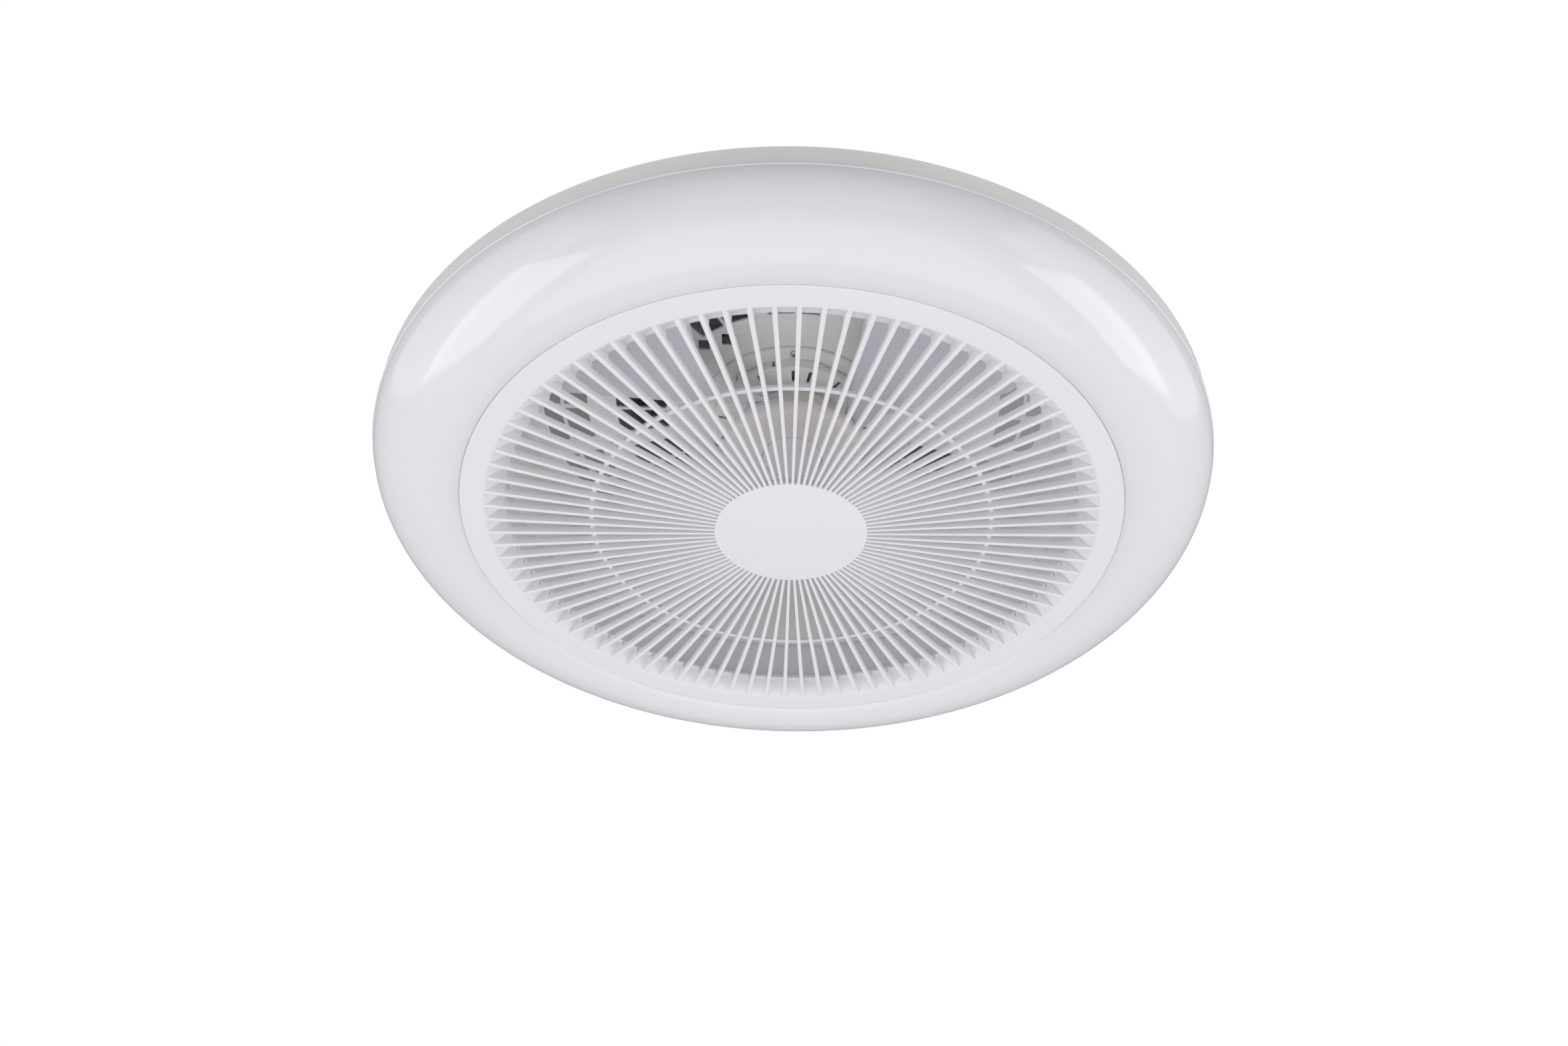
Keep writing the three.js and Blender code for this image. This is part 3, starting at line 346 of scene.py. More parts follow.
# White solder mask on an aluminium board: reflective, slightly glossy.
whiteBoard = makeMaterial(
    "whiteSolderMask", "#f2f2ef", "#ececea", 0.36, ior=1.52, driftSize=8, grainHeight=0.006,
)
# Phosphor under silicone: the yellow of a white diode that is off.
phosphor = makeMaterial("silicatePhosphor", "#f2cf52", "#e6bd3b", 0.3, ior=1.43, driftSize=1.5, grainSize=0.4)
# Sintered ferrite: charcoal, dull and a little porous.
ferrite = makeMaterial(
    "sinteredFerrite", "#3d3e42", "#2f3034", 0.62, ior=2.0, driftSize=2, grainSize=0.5, grainHeight=0.03,
)
# Polycarbonate cases: white for the lamp driver, black for the motor controller.
whiteCase = makeMaterial(
    "polycarbonateWhite", "#e8e8e5", "#e2e2df", 0.5, ior=1.58, driftSize=14, grainSize=0.9,
)
blackCase = makeMaterial(
    "polycarbonateBlack", "#2a2b2d", "#232426", 0.48, ior=1.58, driftSize=14, grainSize=0.9,
)
# The leads' soft PVC jacket: dark, with a dry skin.
leadPvc = makeMaterial(
    "pvcJacket", "#39393b", "#2f2f31", 0.5, ior=1.53, driftSize=12, grainSize=0.7, grainHeight=0.01,
)
# Rubber of the grommet: darker still, and dusty.
rubber = makeMaterial(
    "epdmRubber", "#2c2c2c", "#353433", 0.78, ior=1.52, driftSize=5, grainSize=0.6, grainHeight=0.03,
)
# Brushed-on wall paint for the floor, which isn't part of the fan.
floorPaint = makeMaterial(
    "paleFloorPaint", "#f6f6f6", "#f3f3f4", 0.7, driftSize=600, grainSize=25, grainHeight=0.05,
)
print("materials made:", len(bpy.data.materials))


# The grille's ribs, disc, thin ring and face ring are one moulding.

grilleSize = {
    "ribs": 90, "ribStart": 51, "ribEnd": 214.6, "rootWidth": 1.9, "endWidth": 3.2, "depth": 5,
    "draft": 0.86, "ribRows": 10, "gussetStart": 201, "gussetTop": 12, "edge": 0.45, "edgeRound": 0.3,
    "discRadius": 54, "discSkin": 2.4, "discRim": 4, "proud": 0.3,
    "thinRing": 141, "thinWide": 3.2, "thinLow": 4.6, "thinTop": 7.3,
    "cone": 10, "skin": 2.2, "faceOuter": 231.38, "skirt": 219, "skirtWall": 1.8, "skirtTop": 14,
    "lugs": 4, "lugArc": 10, "lugReach": 5.6, "lugLow": 7.3, "lugTop": 9.6,
}


# At each radius the rib's section is a bar with round lower edges: half its width is rootWidth to
# endWidth by radius, its top is depth, and past gussetStart it rises to gussetTop or to the cone.
def ribForms(size):
    straight = np.linspace(size["ribStart"], size["gussetStart"] - 2, size["ribRows"])
    step = [size["gussetStart"] - 0.02, size["gussetStart"]]
    gusset = np.linspace(size["ribEnd"] - size["cone"] - 1, size["ribEnd"] + 0.9, 3)
    radius = np.concatenate([straight, step, gusset])
    share = (radius - size["discRadius"]) / (size["ribEnd"] - size["discRadius"])
    half = mix(size["rootWidth"], size["endWidth"], share) / 2
    cone = np.minimum(size["gussetTop"], size["ribEnd"] + 1 - radius)
    top = np.where(radius < size["gussetStart"], size["depth"], cone)[:, None]
    edge = size["edge"]
    bend = edge * size["edgeRound"]
    across = np.stack([half - edge, half - bend, half, half * size["draft"]], -1)
    levels = np.array([[0, bend, edge]]) + top * 0
    height = np.minimum(np.concatenate([levels, top], 1), top)
    across = np.concatenate([across, -across[:, ::-1]], 1)
    height = np.concatenate([height, height[:, ::-1]], 1)
    columns = across.shape[1]
    bar = np.stack([np.repeat(radius[:, None], columns, 1), across, height], -1).reshape(-1, 3)
    faces = gridFaces(len(radius), columns, False, True).tolist()
    faces += [list(range(columns)), list(range(len(bar) - 1, len(bar) - 1 - columns, -1))]
    return [turnedBy((bar, faces), -90 + 360 / size["ribs"] * k) for k in range(size["ribs"])]


# Disc, thin ring and face ring are sections turned round the axis, and the lugs lie on the skirt.
def grilleForms(size):
    disc = softened(
        [
            (0, -size["proud"]),
            (size["discRadius"], -size["proud"]),
            (size["discRadius"], size["depth"] + 0.3),
            (size["discRadius"] - size["discRim"], size["depth"] + 0.3),
            (size["discRadius"] - size["discRim"] - 0.8, size["discSkin"]),
            (0, size["discSkin"]),
        ],
        [0, 0.9, 0.5, 0.5, 1.2, 0],
        loop=False,
    )
    middle, half = size["thinRing"], size["thinWide"] / 2
    thinRing = softened(bandSection(middle - half, middle + half, size["thinLow"], size["thinTop"]), 0.6)
    inner = size["ribEnd"] - size["cone"]
    skirt = size["skirt"]
    faceRing = softened(
        [
            (size["faceOuter"], -size["proud"]),
            (size["ribEnd"], -size["proud"]),
            (inner, size["cone"] - size["proud"]),
            (size["gussetStart"], size["cone"] - size["proud"]),
            (size["gussetStart"], size["cone"] + size["skin"]),
            (inner + 1, size["cone"] + size["skin"]),
            (size["ribEnd"] + 1, size["skin"]),
            (skirt - size["skirtWall"], size["skin"]),
            (skirt - size["skirtWall"], size["skirtTop"]),
            (skirt, size["skirtTop"]),
            (skirt, size["skin"]),
            (size["faceOuter"], size["skin"]),
        ],
        [0.4, 0.7, 0.6, 0.4, 0.5, 0.6, 0.6, 0.8, 0.5, 0.5, 0.8, 0.5],
    )
    half = size["lugArc"] / 2
    lugs = []
    for a in np.arange(size["lugs"]) * 360 / size["lugs"]:
        outline = sectorOutline(skirt - 1, skirt + size["lugReach"], a - half, a + half, 1.2)
        lugs.append(plate([outline], size["lugLow"], size["lugTop"], 0.4))
    return turned(disc, 180, loop=False), turned(thinRing, 360), turned(faceRing, 360), lugs


disc, thinRing, faceRing, lugs = grilleForms(grilleSize)
makePiece("grille_ribs", together(*ribForms(grilleSize)), "grille", grilleAbs, ["grille"])
makePiece("grille_hub_disc", disc, "grille", grilleAbs, ["grille"])
makePiece("grille_thin_ring", thinRing, "grille", grilleAbs, ["grille"])
makePiece("grille_face_ring", together(faceRing, *lugs), "grille", grilleAbs, ["grille"])
print("grille built")


# The opal diffuser, and the lamp pan whose rim band shows round it.

lampSize = {
    "edge": 294.6, "lip": 30.4, "belly": 250, "drop": 4.4, "power": 1.81, "skin": 2.2,
    "rollHeight": 0.8, "rim": 231.5, "ledge": 2.6, "sleeve": 228.3, "sleeveTop": 16, "spigot": 6,
    "beadReach": 0.5, "beadTall": 1.5,
    "panTop": 45.8, "sheet": 1.2, "panInner": 206, "press": 1.2, "pressAt": (258, 276),
}


# r = belly + (edge - belly) cos(t)^(2/power), h = lip - (lip + drop) sin(t)^(2/power).
def bellyCurve(size, edge, drop, steps):
    t = np.linspace(0, pi / 2, steps)
    power = 2 / size["power"]
    radius = size["belly"] + (edge - size["belly"]) * np.maximum(np.cos(t), 0) ** power
    return np.stack([radius, size["lip"] - (size["lip"] + drop) * np.sin(t) ** power], -1)


# A quarter ellipse from the belly up into the groove beside the face ring.
def rollCurve(size, rim, drop, steps):
    t = np.linspace(0, pi / 2, steps)[1:]
    radius = size["belly"] - (size["belly"] - rim) * np.sin(t)
    return np.stack([radius, size["rollHeight"] - (size["rollHeight"] + drop) * np.cos(t)], -1)


# From the bead at the rim over the belly and the roll to the sleeve beside the grille's seat, and back
# inside one skin thickness away.
def diffuserForm(size):
    skin, lip, edge = size["skin"], size["lip"], size["edge"]
    bead = softened(
        [
            (edge - size["sheet"] - 0.3, lip),
            (edge + size["beadReach"], lip),
            (edge + size["beadReach"], lip - size["beadTall"]),
            (edge - 0.2, lip - size["beadTall"] - 0.3),
        ],
        [0.1, 0.4, 0.5, 0.2], loop=False,
    )
    outside = bellyCurve(size, edge, size["drop"], 64)
    outside = outside[outside[:, 1] < lip - size["beadTall"] - 0.4]
    roll = rollCurve(size, size["rim"], size["drop"], 24)
    sleeve = [
        (size["rim"], size["ledge"]),
        (size["sleeve"], size["ledge"]),
        (size["sleeve"], size["sleeveTop"]),
        (size["sleeve"] + skin, size["sleeveTop"]),
        (size["sleeve"] + skin, size["ledge"] + skin),
        (size["rim"] + skin, size["ledge"] + skin),
    ]
    innerRoll = rollCurve(size, size["rim"] + skin, size["drop"] - skin, 12)[::-1]
    spigotOuter = edge - size["sheet"] - 0.3
    innerBelly = bellyCurve(size, spigotOuter - skin, size["drop"] - skin, 28)[::-1]
    spigot = [(spigotOuter - skin, lip + size["spigot"]), (spigotOuter, lip + size["spigot"])]
    return turned(np.concatenate([bead, outside, roll, sleeve, innerRoll, innerBelly, spigot]), 320)


# The rim band hangs from the tray's outer edge, and a groove pressed into the tray stiffens it.
def panForm(size):
    edge, top, sheet = size["edge"], size["panTop"], size["sheet"]
    low = size["lip"] + 0.3
    first, second = size["pressAt"]
    outside = softened(
        [
            (edge - sheet, low),
            (edge, low),
            (edge, top),
            (second + 3, top),
            (second, top - size["press"]),
            (first, top - size["press"]),
            (first - 3, top),
            (size["panInner"], top),
            (size["panInner"], top - sheet),
            (first - 3.3, top - sheet),
            (first - 0.3, top - size["press"] - sheet),
            (second + 0.3, top - size["press"] - sheet),
            (second + 3.3, top - sheet),
            (edge - sheet, top - sheet),
        ],
        [0.4, 0.5, 1.8, 1.5, 1.5, 1.5, 1.5, 0.3, 0.3, 1.5, 1.5, 1.5, 1.5, 1],
    )
    return turned(outside, 320)


makePiece("diffuser_shell", diffuserForm(lampSize), "frame", opalAcrylic, ["diffuser"])
makePiece("lamp_pan_tray", panForm(lampSize), "frame", rimPowderCoat, ["lamp_pan"])

boardSize = {
    "inner": 240, "outer": 286, "low": 42.7, "sheet": 1.6,
    "screwAt": 263, "screws": (45, 135, 225, 315), "hole": 2.2,
    "chip": 3.2, "chipTall": 0.9, "screwRoom": (9, 7),
    "chipRows": ((248, 48, 3.75), (259, 48, 0), (271, 54, 3.3), (280, 54, 0)),
}


# Square chips under the board, in rows of (radius, count, first angle). On the rows within the first
# screwRoom of the screws, no chip lies within the second screwRoom past a screw.
def chipForms(size):
    chip = roundedBox(size["chip"], size["chip"], 0.3, step=9)
    block = plate([chip], size["low"] - size["chipTall"], size["low"] + 0.1, 0.15, 1)
    nearRow, nearScrew = size["screwRoom"]
    forms = []
    for radius, count, shift in size["chipRows"]:
        for k in range(count):
            angle = shift + 360 / count * k
            pastScrew = abs((angle - size["screws"][0]) % 90) * pi / 180 * radius
            if abs(radius - size["screwAt"]) >= nearRow or pastScrew > nearScrew:
                forms.append(turnedBy((block[0] + (radius, 0, 0), block[1]), angle))
    return forms


boardHoles = [circle(boardSize["hole"], 24, *polar(boardSize["screwAt"], a)) for a in boardSize["screws"]]
boardForm = plate(
    [circle(boardSize["outer"], 240), circle(boardSize["inner"], 240), *boardHoles],
    boardSize["low"], boardSize["low"] + boardSize["sheet"], 0.1, 1,
)
makePiece("led_board_ring", boardForm, "frame", whiteBoard, ["led_board"])
makePiece("led_chips", together(*chipForms(boardSize)), "frame", phosphor)
print("lamp built")


# The grille's seat is an upside-down channel with hooks for the bayonet.

seatSize = {
    "duct": 206, "outer": 228, "skin": 2.5, "low": 3, "ductLow": 13, "top": 44.3,
    "hookInner": 219.8, "hookOuter": 226.7, "hookLow": 4.5, "hookTop": 7.0, "slotFrom": 6.5, "slotTo": 17.5,
    "stopAt": (-6.5, 17.8), "stopArc": 1.2, "stopTop": 10.0,
}


# The channel is a section turned round the axis. Between the slots that let the grille's lugs in lie
# the hooks, each with a stop beside it at both ends of the twist.
def seatForm(size):
    duct, outer, skin = size["duct"], size["outer"], size["skin"]
    channel = softened(
        [
            (duct, size["ductLow"]),
            (duct, size["top"]),
            (outer, size["top"]),
            (outer, size["low"]),
            (outer - skin, size["low"]),
            (outer - skin, size["top"] - skin),
            (duct + skin, size["top"] - skin),
            (duct + skin, size["ductLow"]),
        ],
        [0.7, 0.5, 0.8, 0.6, 0.6, 0.8, 0.8, 0.7],
    )
    inner, outer, low = size["hookInner"], size["hookOuter"], size["hookLow"]
    hooks, stops = [], []
    for angle in (0, 90, 180, 270):
        span = (angle + size["slotTo"], angle + 90 + size["slotFrom"])
        hooks.append(plate([sectorOutline(inner, outer, *span, 1)], low, size["hookTop"], 0.4))
        for start in size["stopAt"]:
            outline = sectorOutline(inner, outer, angle + start, angle + start + size["stopArc"], 0.6)
            stops.append(plate([outline], low + 1, size["stopTop"], 0.3))
    return together(turned(channel, 256), *hooks, *stops)


makePiece("grille_seat_ring", seatForm(seatSize), "frame", grilleAbs, ["grille_seat"])


# The rear housing: a plate with intake windows, a round tub wall and a flange.

housingSize = {
    "inner": 205, "wall": 2.2, "top": 120.2, "shoulder": 8, "flange": 238, "flangeLow": 46.1,
    "windows": 12, "windowInner": 156, "windowOuter": 190, "windowArc": 25, "corner": 1.5,
    "ventInner": 96, "ventOuter": 134, "ventArc": 23, "bar": 2.4, "barRing": 175,
    "smoothWindows": (1, 2, 3), "shortVents": (0, 11), "shortBy": 5,
    "padScrew": 136, "padTurn": -80, "padBoss": 8, "padHole": 3.6,
    "slots": ((-48, -74, 10, 11), (-66, -68, 8, 10), (-73, -34, 22, 11)),
    "screwHole": 2.2, "canopyHoles": (144.4, (45, 165, 285)), "mountHoles": (65, (30, 150, 270)),
    "leadHole": (3, -16),
}


# The plate with its openings: windows split by a bar each way, vents split by one bar, cable slots,
# screw holes, the motor lead's hole and the hole in the boss under the plate.
def housingPlate(size):
    pitch = 360 / size["windows"]
    seam = size["inner"] + size["wall"] - size["shoulder"]
    holes = []
    bar = size["bar"] / 2
    rows = [(size["windowInner"], size["barRing"] - bar), (size["barRing"] + bar, size["windowOuter"])]
    for k in range(size["windows"]):
        angle = -90 + pitch * k
        cells = [(*row, size["windowArc"] / 2) for row in rows]
        if k not in size["smoothWindows"]:
            start = size["ventInner"] + (size["shortBy"] if k in size["shortVents"] else 0)
            cells.append((start, size["ventOuter"], size["ventArc"] / 2))
        for inner, outer, half in cells:
            middle = math.degrees(bar / (inner + outer) * 2)
            holes.append(sectorOutline(inner, outer, angle - half, angle - middle, size["corner"]))
            holes.append(sectorOutline(inner, outer, angle + middle, angle + half, size["corner"]))
    for x, y, wide, tall in size["slots"]:
        holes.append(roundedBox(wide, tall, 0.8, x, y))
    for reach, angles in (size["canopyHoles"], size["mountHoles"]):
        holes += [circle(size["screwHole"], 20, *polar(reach, a)) for a in angles]
    holes.append(circle(size["leadHole"][0], 20, 0, size["leadHole"][1]))
    pad = polar(size["padScrew"], size["padTurn"])
    padHole = circle(size["padHole"], 32, *pad)
    low = size["top"] - size["wall"]
    sheet = plate([circle(seam, 240), *holes, padHole], low, size["top"], 0.35)
    boss = plate([circle(size["padBoss"], 40, *pad), padHole], low - 5, low + 0.4, 0.7)
    return together(sheet, boss)


# The wall turns into the plate over a quarter round, and into the flange over a small one.
def housingTub(size):
    inner, wall, top = size["inner"], size["wall"], size["top"]
    middle = inner + wall - size["shoulder"]
    turn = np.linspace(0, pi / 2, 9)
    outerRadius, innerRadius = size["shoulder"], size["shoulder"] - wall
    outerArc = [(middle + outerRadius * math.sin(t), top - outerRadius * (1 - math.cos(t))) for t in turn]
    top -= wall
    innerArc = [(middle + innerRadius * math.sin(t), top - innerRadius * (1 - math.cos(t))) for t in turn]
    flange = softened(
        [
            (inner + wall, size["flangeLow"] + 20),
            (inner + wall, size["flangeLow"] + wall),
            (size["flange"], size["flangeLow"] + wall),
            (size["flange"], size["flangeLow"]),
            (inner, size["flangeLow"]),
            (inner, size["flangeLow"] + 20),
        ],
        [0, 2.5, 0.8, 0.6, 0.8, 0], loop=False,
    )
    return turned(np.concatenate([outerArc, flange, innerArc[::-1]]), 256)


for name, form in (("plate", housingPlate(housingSize)), ("tub", housingTub(housingSize))):
    makePiece(
        "rear_housing_" + name, form, "frame", housingPolypropylene, ["rear_housing"],
    )
print("housing built")


# The motor hangs in a cup under the housing's plate.

motorSize = {
    "mountRadius": 60, "mountLow": 106, "mountTop": 117.7, "mountWall": 2.5, "mountFlange": 70,
    "slots": 12, "slotWide": 2.4, "slotLow": 107, "slotTall": 7,
    "floorSlots": (-118, -91, -78, -54), "floorSlotInner": 45, "floorSlotOuter": 56.6, "floorSlotArc": 2.7,
    "edge": 2.6, "tubeInner": 6.3, "tubeOuter": 9, "tubeLow": 83,
}


# The mount's wall is a sheet rolled round the axis: angle across, height up, slots cut through. Its
# floor is a plate with slots that point outwards, between a round edge and the tube of the bearings.
def mountForm(size):
    wall, radius = size["mountWall"], size["mountRadius"]
    low, top = size["mountLow"], size["mountTop"]
    length, steps = 2 * pi * radius, 144
    middle = size["slotLow"] + size["slotTall"] / 2
    slots = [
        roundedBox(size["slotWide"], size["slotTall"], 0.7, length * (k + 0.5) / size["slots"], middle)
        for k in range(size["slots"])
    ]
    edge = np.linspace(0, length, steps, endpoint=False)
    ring = np.concatenate([
        np.stack([edge, np.full(steps, low + wall)], -1),
        [(length, low + wall)],
        np.stack([edge[::-1] + length / steps, np.full(steps, top - wall)], -1),
        [(0, top - wall)],
    ])
    points, faces = plate([ring, *slots], -wall, 0, 0)
    angle = points[:, 0] / radius - pi / 2
    reach = radius + points[:, 2]
    rolled = np.stack([reach * np.cos(angle), reach * np.sin(angle), points[:, 1]], -1)
    tubeSection = bandSection(size["tubeInner"], size["tubeOuter"], size["tubeLow"], low + wall)
    centre = softened(tubeSection, [0.3, 0.5, 0, 0.3])
    rim = radius - size["edge"]
    edge = softened([(rim, low + 0.03), (radius, low), (radius, low + wall), (rim, low + wall)], [0, 2, 0, 0])
    half = size["floorSlotArc"] / 2
    cuts = [
        sectorOutline(size["floorSlotInner"], size["floorSlotOuter"], a + third - half, a + third + half, 0.6)
        for third in (0, 120, 240) for a in size["floorSlots"]
    ]
    outlines = [circle(rim + 0.1, 144), circle(size["tubeOuter"] - 0.4, 48), *cuts]
    floor = plate(outlines, low, low + wall - 0.03, 0.3)
    flange = softened(
        [
            (radius, top - wall),
            (size["mountFlange"], top - wall),
            (size["mountFlange"], top),
            (radius - wall, top),
            (radius - wall, top - wall),
        ],
        [0, 0.8, 0.5, 0.4, 0],
    )
    return together((rolled, faces), turned(centre, 144), turned(edge, 144), floor, turned(flange, 144))


makePiece(
    "motor_mount_cup", mountForm(motorSize), "frame", housingPolypropylene, ["motor_mount"],
)

statorSize = {
    "yoke": 15, "outer": 30.5, "bore": 9.3, "low": 87, "tall": 12,
    "teeth": 12, "toothWide": 3.8, "tipDepth": 3, "tipArc": 22,
    "wire": 0.75, "coilStart": 17, "coilLong": 9, "coilThick": 1.7, "wireRise": 0.25,
    "boardOuter": 27.5, "boardLow": 101.6, "boardTop": 103.2, "sensorAt": 22, "sensorTurns": (30, 50, 70),
}


# The stack's outline goes round tooth by tooth: neck, tip of five points, neck.
def statorForm(size):
    half = size["toothWide"] / 2
    tip = size["outer"] - size["tipDepth"]
    outline = []
    for k in range(size["teeth"]):
        turn = 360 / size["teeth"] * k
        root, neck = (math.degrees(math.asin(half / r)) for r in (size["yoke"], tip))
        outline += [polar(size["yoke"], turn - root), polar(tip, turn - neck)]
        outline += [polar(size["outer"], turn + s * size["tipArc"] / 2) for s in (-1, -0.5, 0, 0.5, 1)]
        outline += [polar(tip, turn + neck), polar(size["yoke"], turn + root)]
    low = size["low"]
    return plate([np.array(outline), circle(size["bore"], 48)], low, low + size["tall"], 0.1, 1)


# Each coil is a band round its tooth. Across its width the outside rises and falls as
# |cos(pi * x / wire)|, so the turns of wire show. A ring over the coils links them.
def coilForms(size):
    start, long, thick, rise = size["coilStart"], size["coilLong"], size["coilThick"], size["wireRise"]
    inner = np.array([size["toothWide"] / 2 + 0.4, size["tall"] / 2 + 0.4])
    path = roundedBox(2 * (inner[0] + thick / 2), 2 * (inner[1] + thick / 2), 1.6, step=2)
    along = np.roll(path, -1, 0) - np.roll(path, 1, 0)
    outward = np.stack([along[:, 1], -along[:, 0]], -1)
    outward /= np.linalg.norm(outward, axis=1, keepdims=True)
    x = np.linspace(0, long, 49)
    bulge = thick / 2 - rise + rise * np.abs(np.cos(pi * x / size["wire"]))
    section = np.concatenate([np.stack([x, bulge], -1), [(long, -thick / 2), (0, -thick / 2)]])
    points = np.stack([
        np.tile(start + section[:, 0], (len(path), 1)),
        path[:, :1] + outward[:, :1] * section[:, 1],
        path[:, 1:] + outward[:, 1:] * section[:, 1] + size["low"] + size["tall"] / 2,
    ], -1).reshape(-1, 3)
    coil = (points, gridFaces(len(path), len(section), True, True))
    linkLow = size["low"] + size["tall"] + 0.6
    link = turned(softened(bandSection(start - 1, start + 1, linkLow, linkLow + 1), 0.4), 64)
    return [turnedBy(coil, 360 / size["teeth"] * k) for k in range(size["teeth"])] + [link]


stack = statorForm(statorSize)
makePiece("stator_core_stack", stack, "frame", laminatedSteel, ["stator_core"])
coils = together(*coilForms(statorSize))
makePiece("stator_coils", coils, "frame", enamelledCopper, ["stator_windings"])
boardOutlines = [circle(statorSize["boardOuter"], 72), circle(statorSize["bore"], 40)]
boardRing = plate(boardOutlines, statorSize["boardLow"], statorSize["boardTop"], 0.1, 1)
makePiece("stator_board_ring", boardRing, "frame", greenBoard, ["stator_board"])
sensor = plate([roundedBox(4, 3, 0.3, statorSize["sensorAt"], 0)], 100.4, 101.7, 0.2)
sensors = [turnedBy(sensor, a) for a in statorSize["sensorTurns"]]
makePiece("stator_board_sensors", together(*sensors), "frame", blackCase)


# A bearing's section: the two races stand a little higher than the shield between them.
def bearingSection(low):
    heights = (0, 0, 0.4, 0.4, 0, 0, 5, 5, 4.6, 4.6, 5, 5)
    radii = (3.8, 4.6, 4.7, 5.2, 5.3, 6, 6, 5.3, 5.2, 4.7, 4.6, 3.8)
    return [(r, low + h) for r, h in zip(radii, heights)]


# Turned and pressed pieces of the motor: (radius, height) sections with their corner radii.
bellSection = [(3.8, 78.5), (36, 78.5), (36, 104.5), (34.5, 104.5), (34.5, 81), (3.8, 81)]
motorTurned = {
    "bearing_lower": ("frame", bearingSteel, "screw_steel", bearingSection(83.3), 0.15),
    "bearing_upper": ("frame", bearingSteel, "screw_steel", bearingSection(103.2), 0.15),
    "retaining_clip": ("rotor", zincPlated, "screw_steel", bandSection(3.8, 6, 108.8, 109.8), 0.2),
    "rotor_bell": ("rotor", galvanised, "zinc_steel", bellSection, [0.3, 2.5, 0.5, 0.5, 1, 0.3]),
    "magnet_ring": ("rotor", ferrite, "magnet_ferrite", bandSection(31.6, 34.2, 84, 102), 0.4),
    "hub_washer": ("rotor", zincPlated, "screw_steel", bandSection(3.8, 9, 74.5, 75.5), 0.3),
}
for name, (body, material, slot, section, corner) in motorTurned.items():
    makePiece(name + "_turned", turned(softened(section, corner), 96), body, material, [name])


# r = core + ridge * |1 - 2 frac(height / pitch - angle / full turn)|, a single-start thread.
def threadForm(core, ridge, low, high, pitch=0.7, steps=24):
    rows = int((high - low) / pitch * 6)
    height = np.linspace(low, high, rows)[:, None]
    angle = np.linspace(0, 2 * pi, steps, endpoint=False)[None, :]
    radius = core + ridge * np.abs(1 - 2 * np.mod(height / pitch - angle / (2 * pi), 1))
    radius[0], radius[-1] = core * 0.7, core * 0.7
    grid = [radius * np.cos(angle), radius * np.sin(angle), height + angle * 0]
    points = np.stack(grid, -1).reshape(-1, 3)
    faces = gridFaces(rows, steps, False, True).tolist()
    faces += [list(range(steps)), list(range(len(points) - 1, len(points) - 1 - steps, -1))]
    return points, faces


shaftSize = {"radius": 3.5, "low": 76, "top": 111, "core": 3.1, "ridge": 0.35, "threadEnds": (71.6, 76.3)}
nutSize = {"corner": 6.2, "bore": 3.7, "low": 71.6, "top": 74.2}
shaftSection = bandSection(0, shaftSize["radius"], shaftSize["low"], shaftSize["top"])
shaft = turned(softened(shaftSection, [0, 0.5, 0.5, 0], loop=False), 48, loop=False)
thread = threadForm(shaftSize["core"], shaftSize["ridge"], *shaftSize["threadEnds"])
makePiece("motor_shaft_turned", together(shaft, thread), "rotor", zincPlated, ["motor_shaft"])
hexagon = softened(polar(nutSize["corner"], np.arange(0, 360, 60) + 30), 0.5, 3)
nut = plate([hexagon, circle(nutSize["bore"], 40)], nutSize["low"], nutSize["top"], 0.45, 3)
makePiece("hub_nut_hexagon", nut, "rotor", zincPlated, ["hub_nut"])
print("motor built")


# Four blades on a round hub, with a cap over the nut.

bladeSize = {
    "count": 4, "firstTurn": -85.5, "inner": 41, "outer": 190, "offset": 35, "rootArc": 23, "tipArc": 49,
    "tipRound": 36, "lead": (90, 87), "trail": (84.2, 71), "camber": 3, "half": 1.2, "edgeLong": 1.6,
    "rows": 64, "columns": 22, "hub": 52,
    "foot": (39.3, 52, 34.6, 83.6), "footLow": 81.8, "footTop": 84.4, "padOuter": 42.9, "padArc": 26,
    "padTop": 92.4, "screwAt": 47.4, "screwIn": 5.2, "screwHole": 2.1,
}


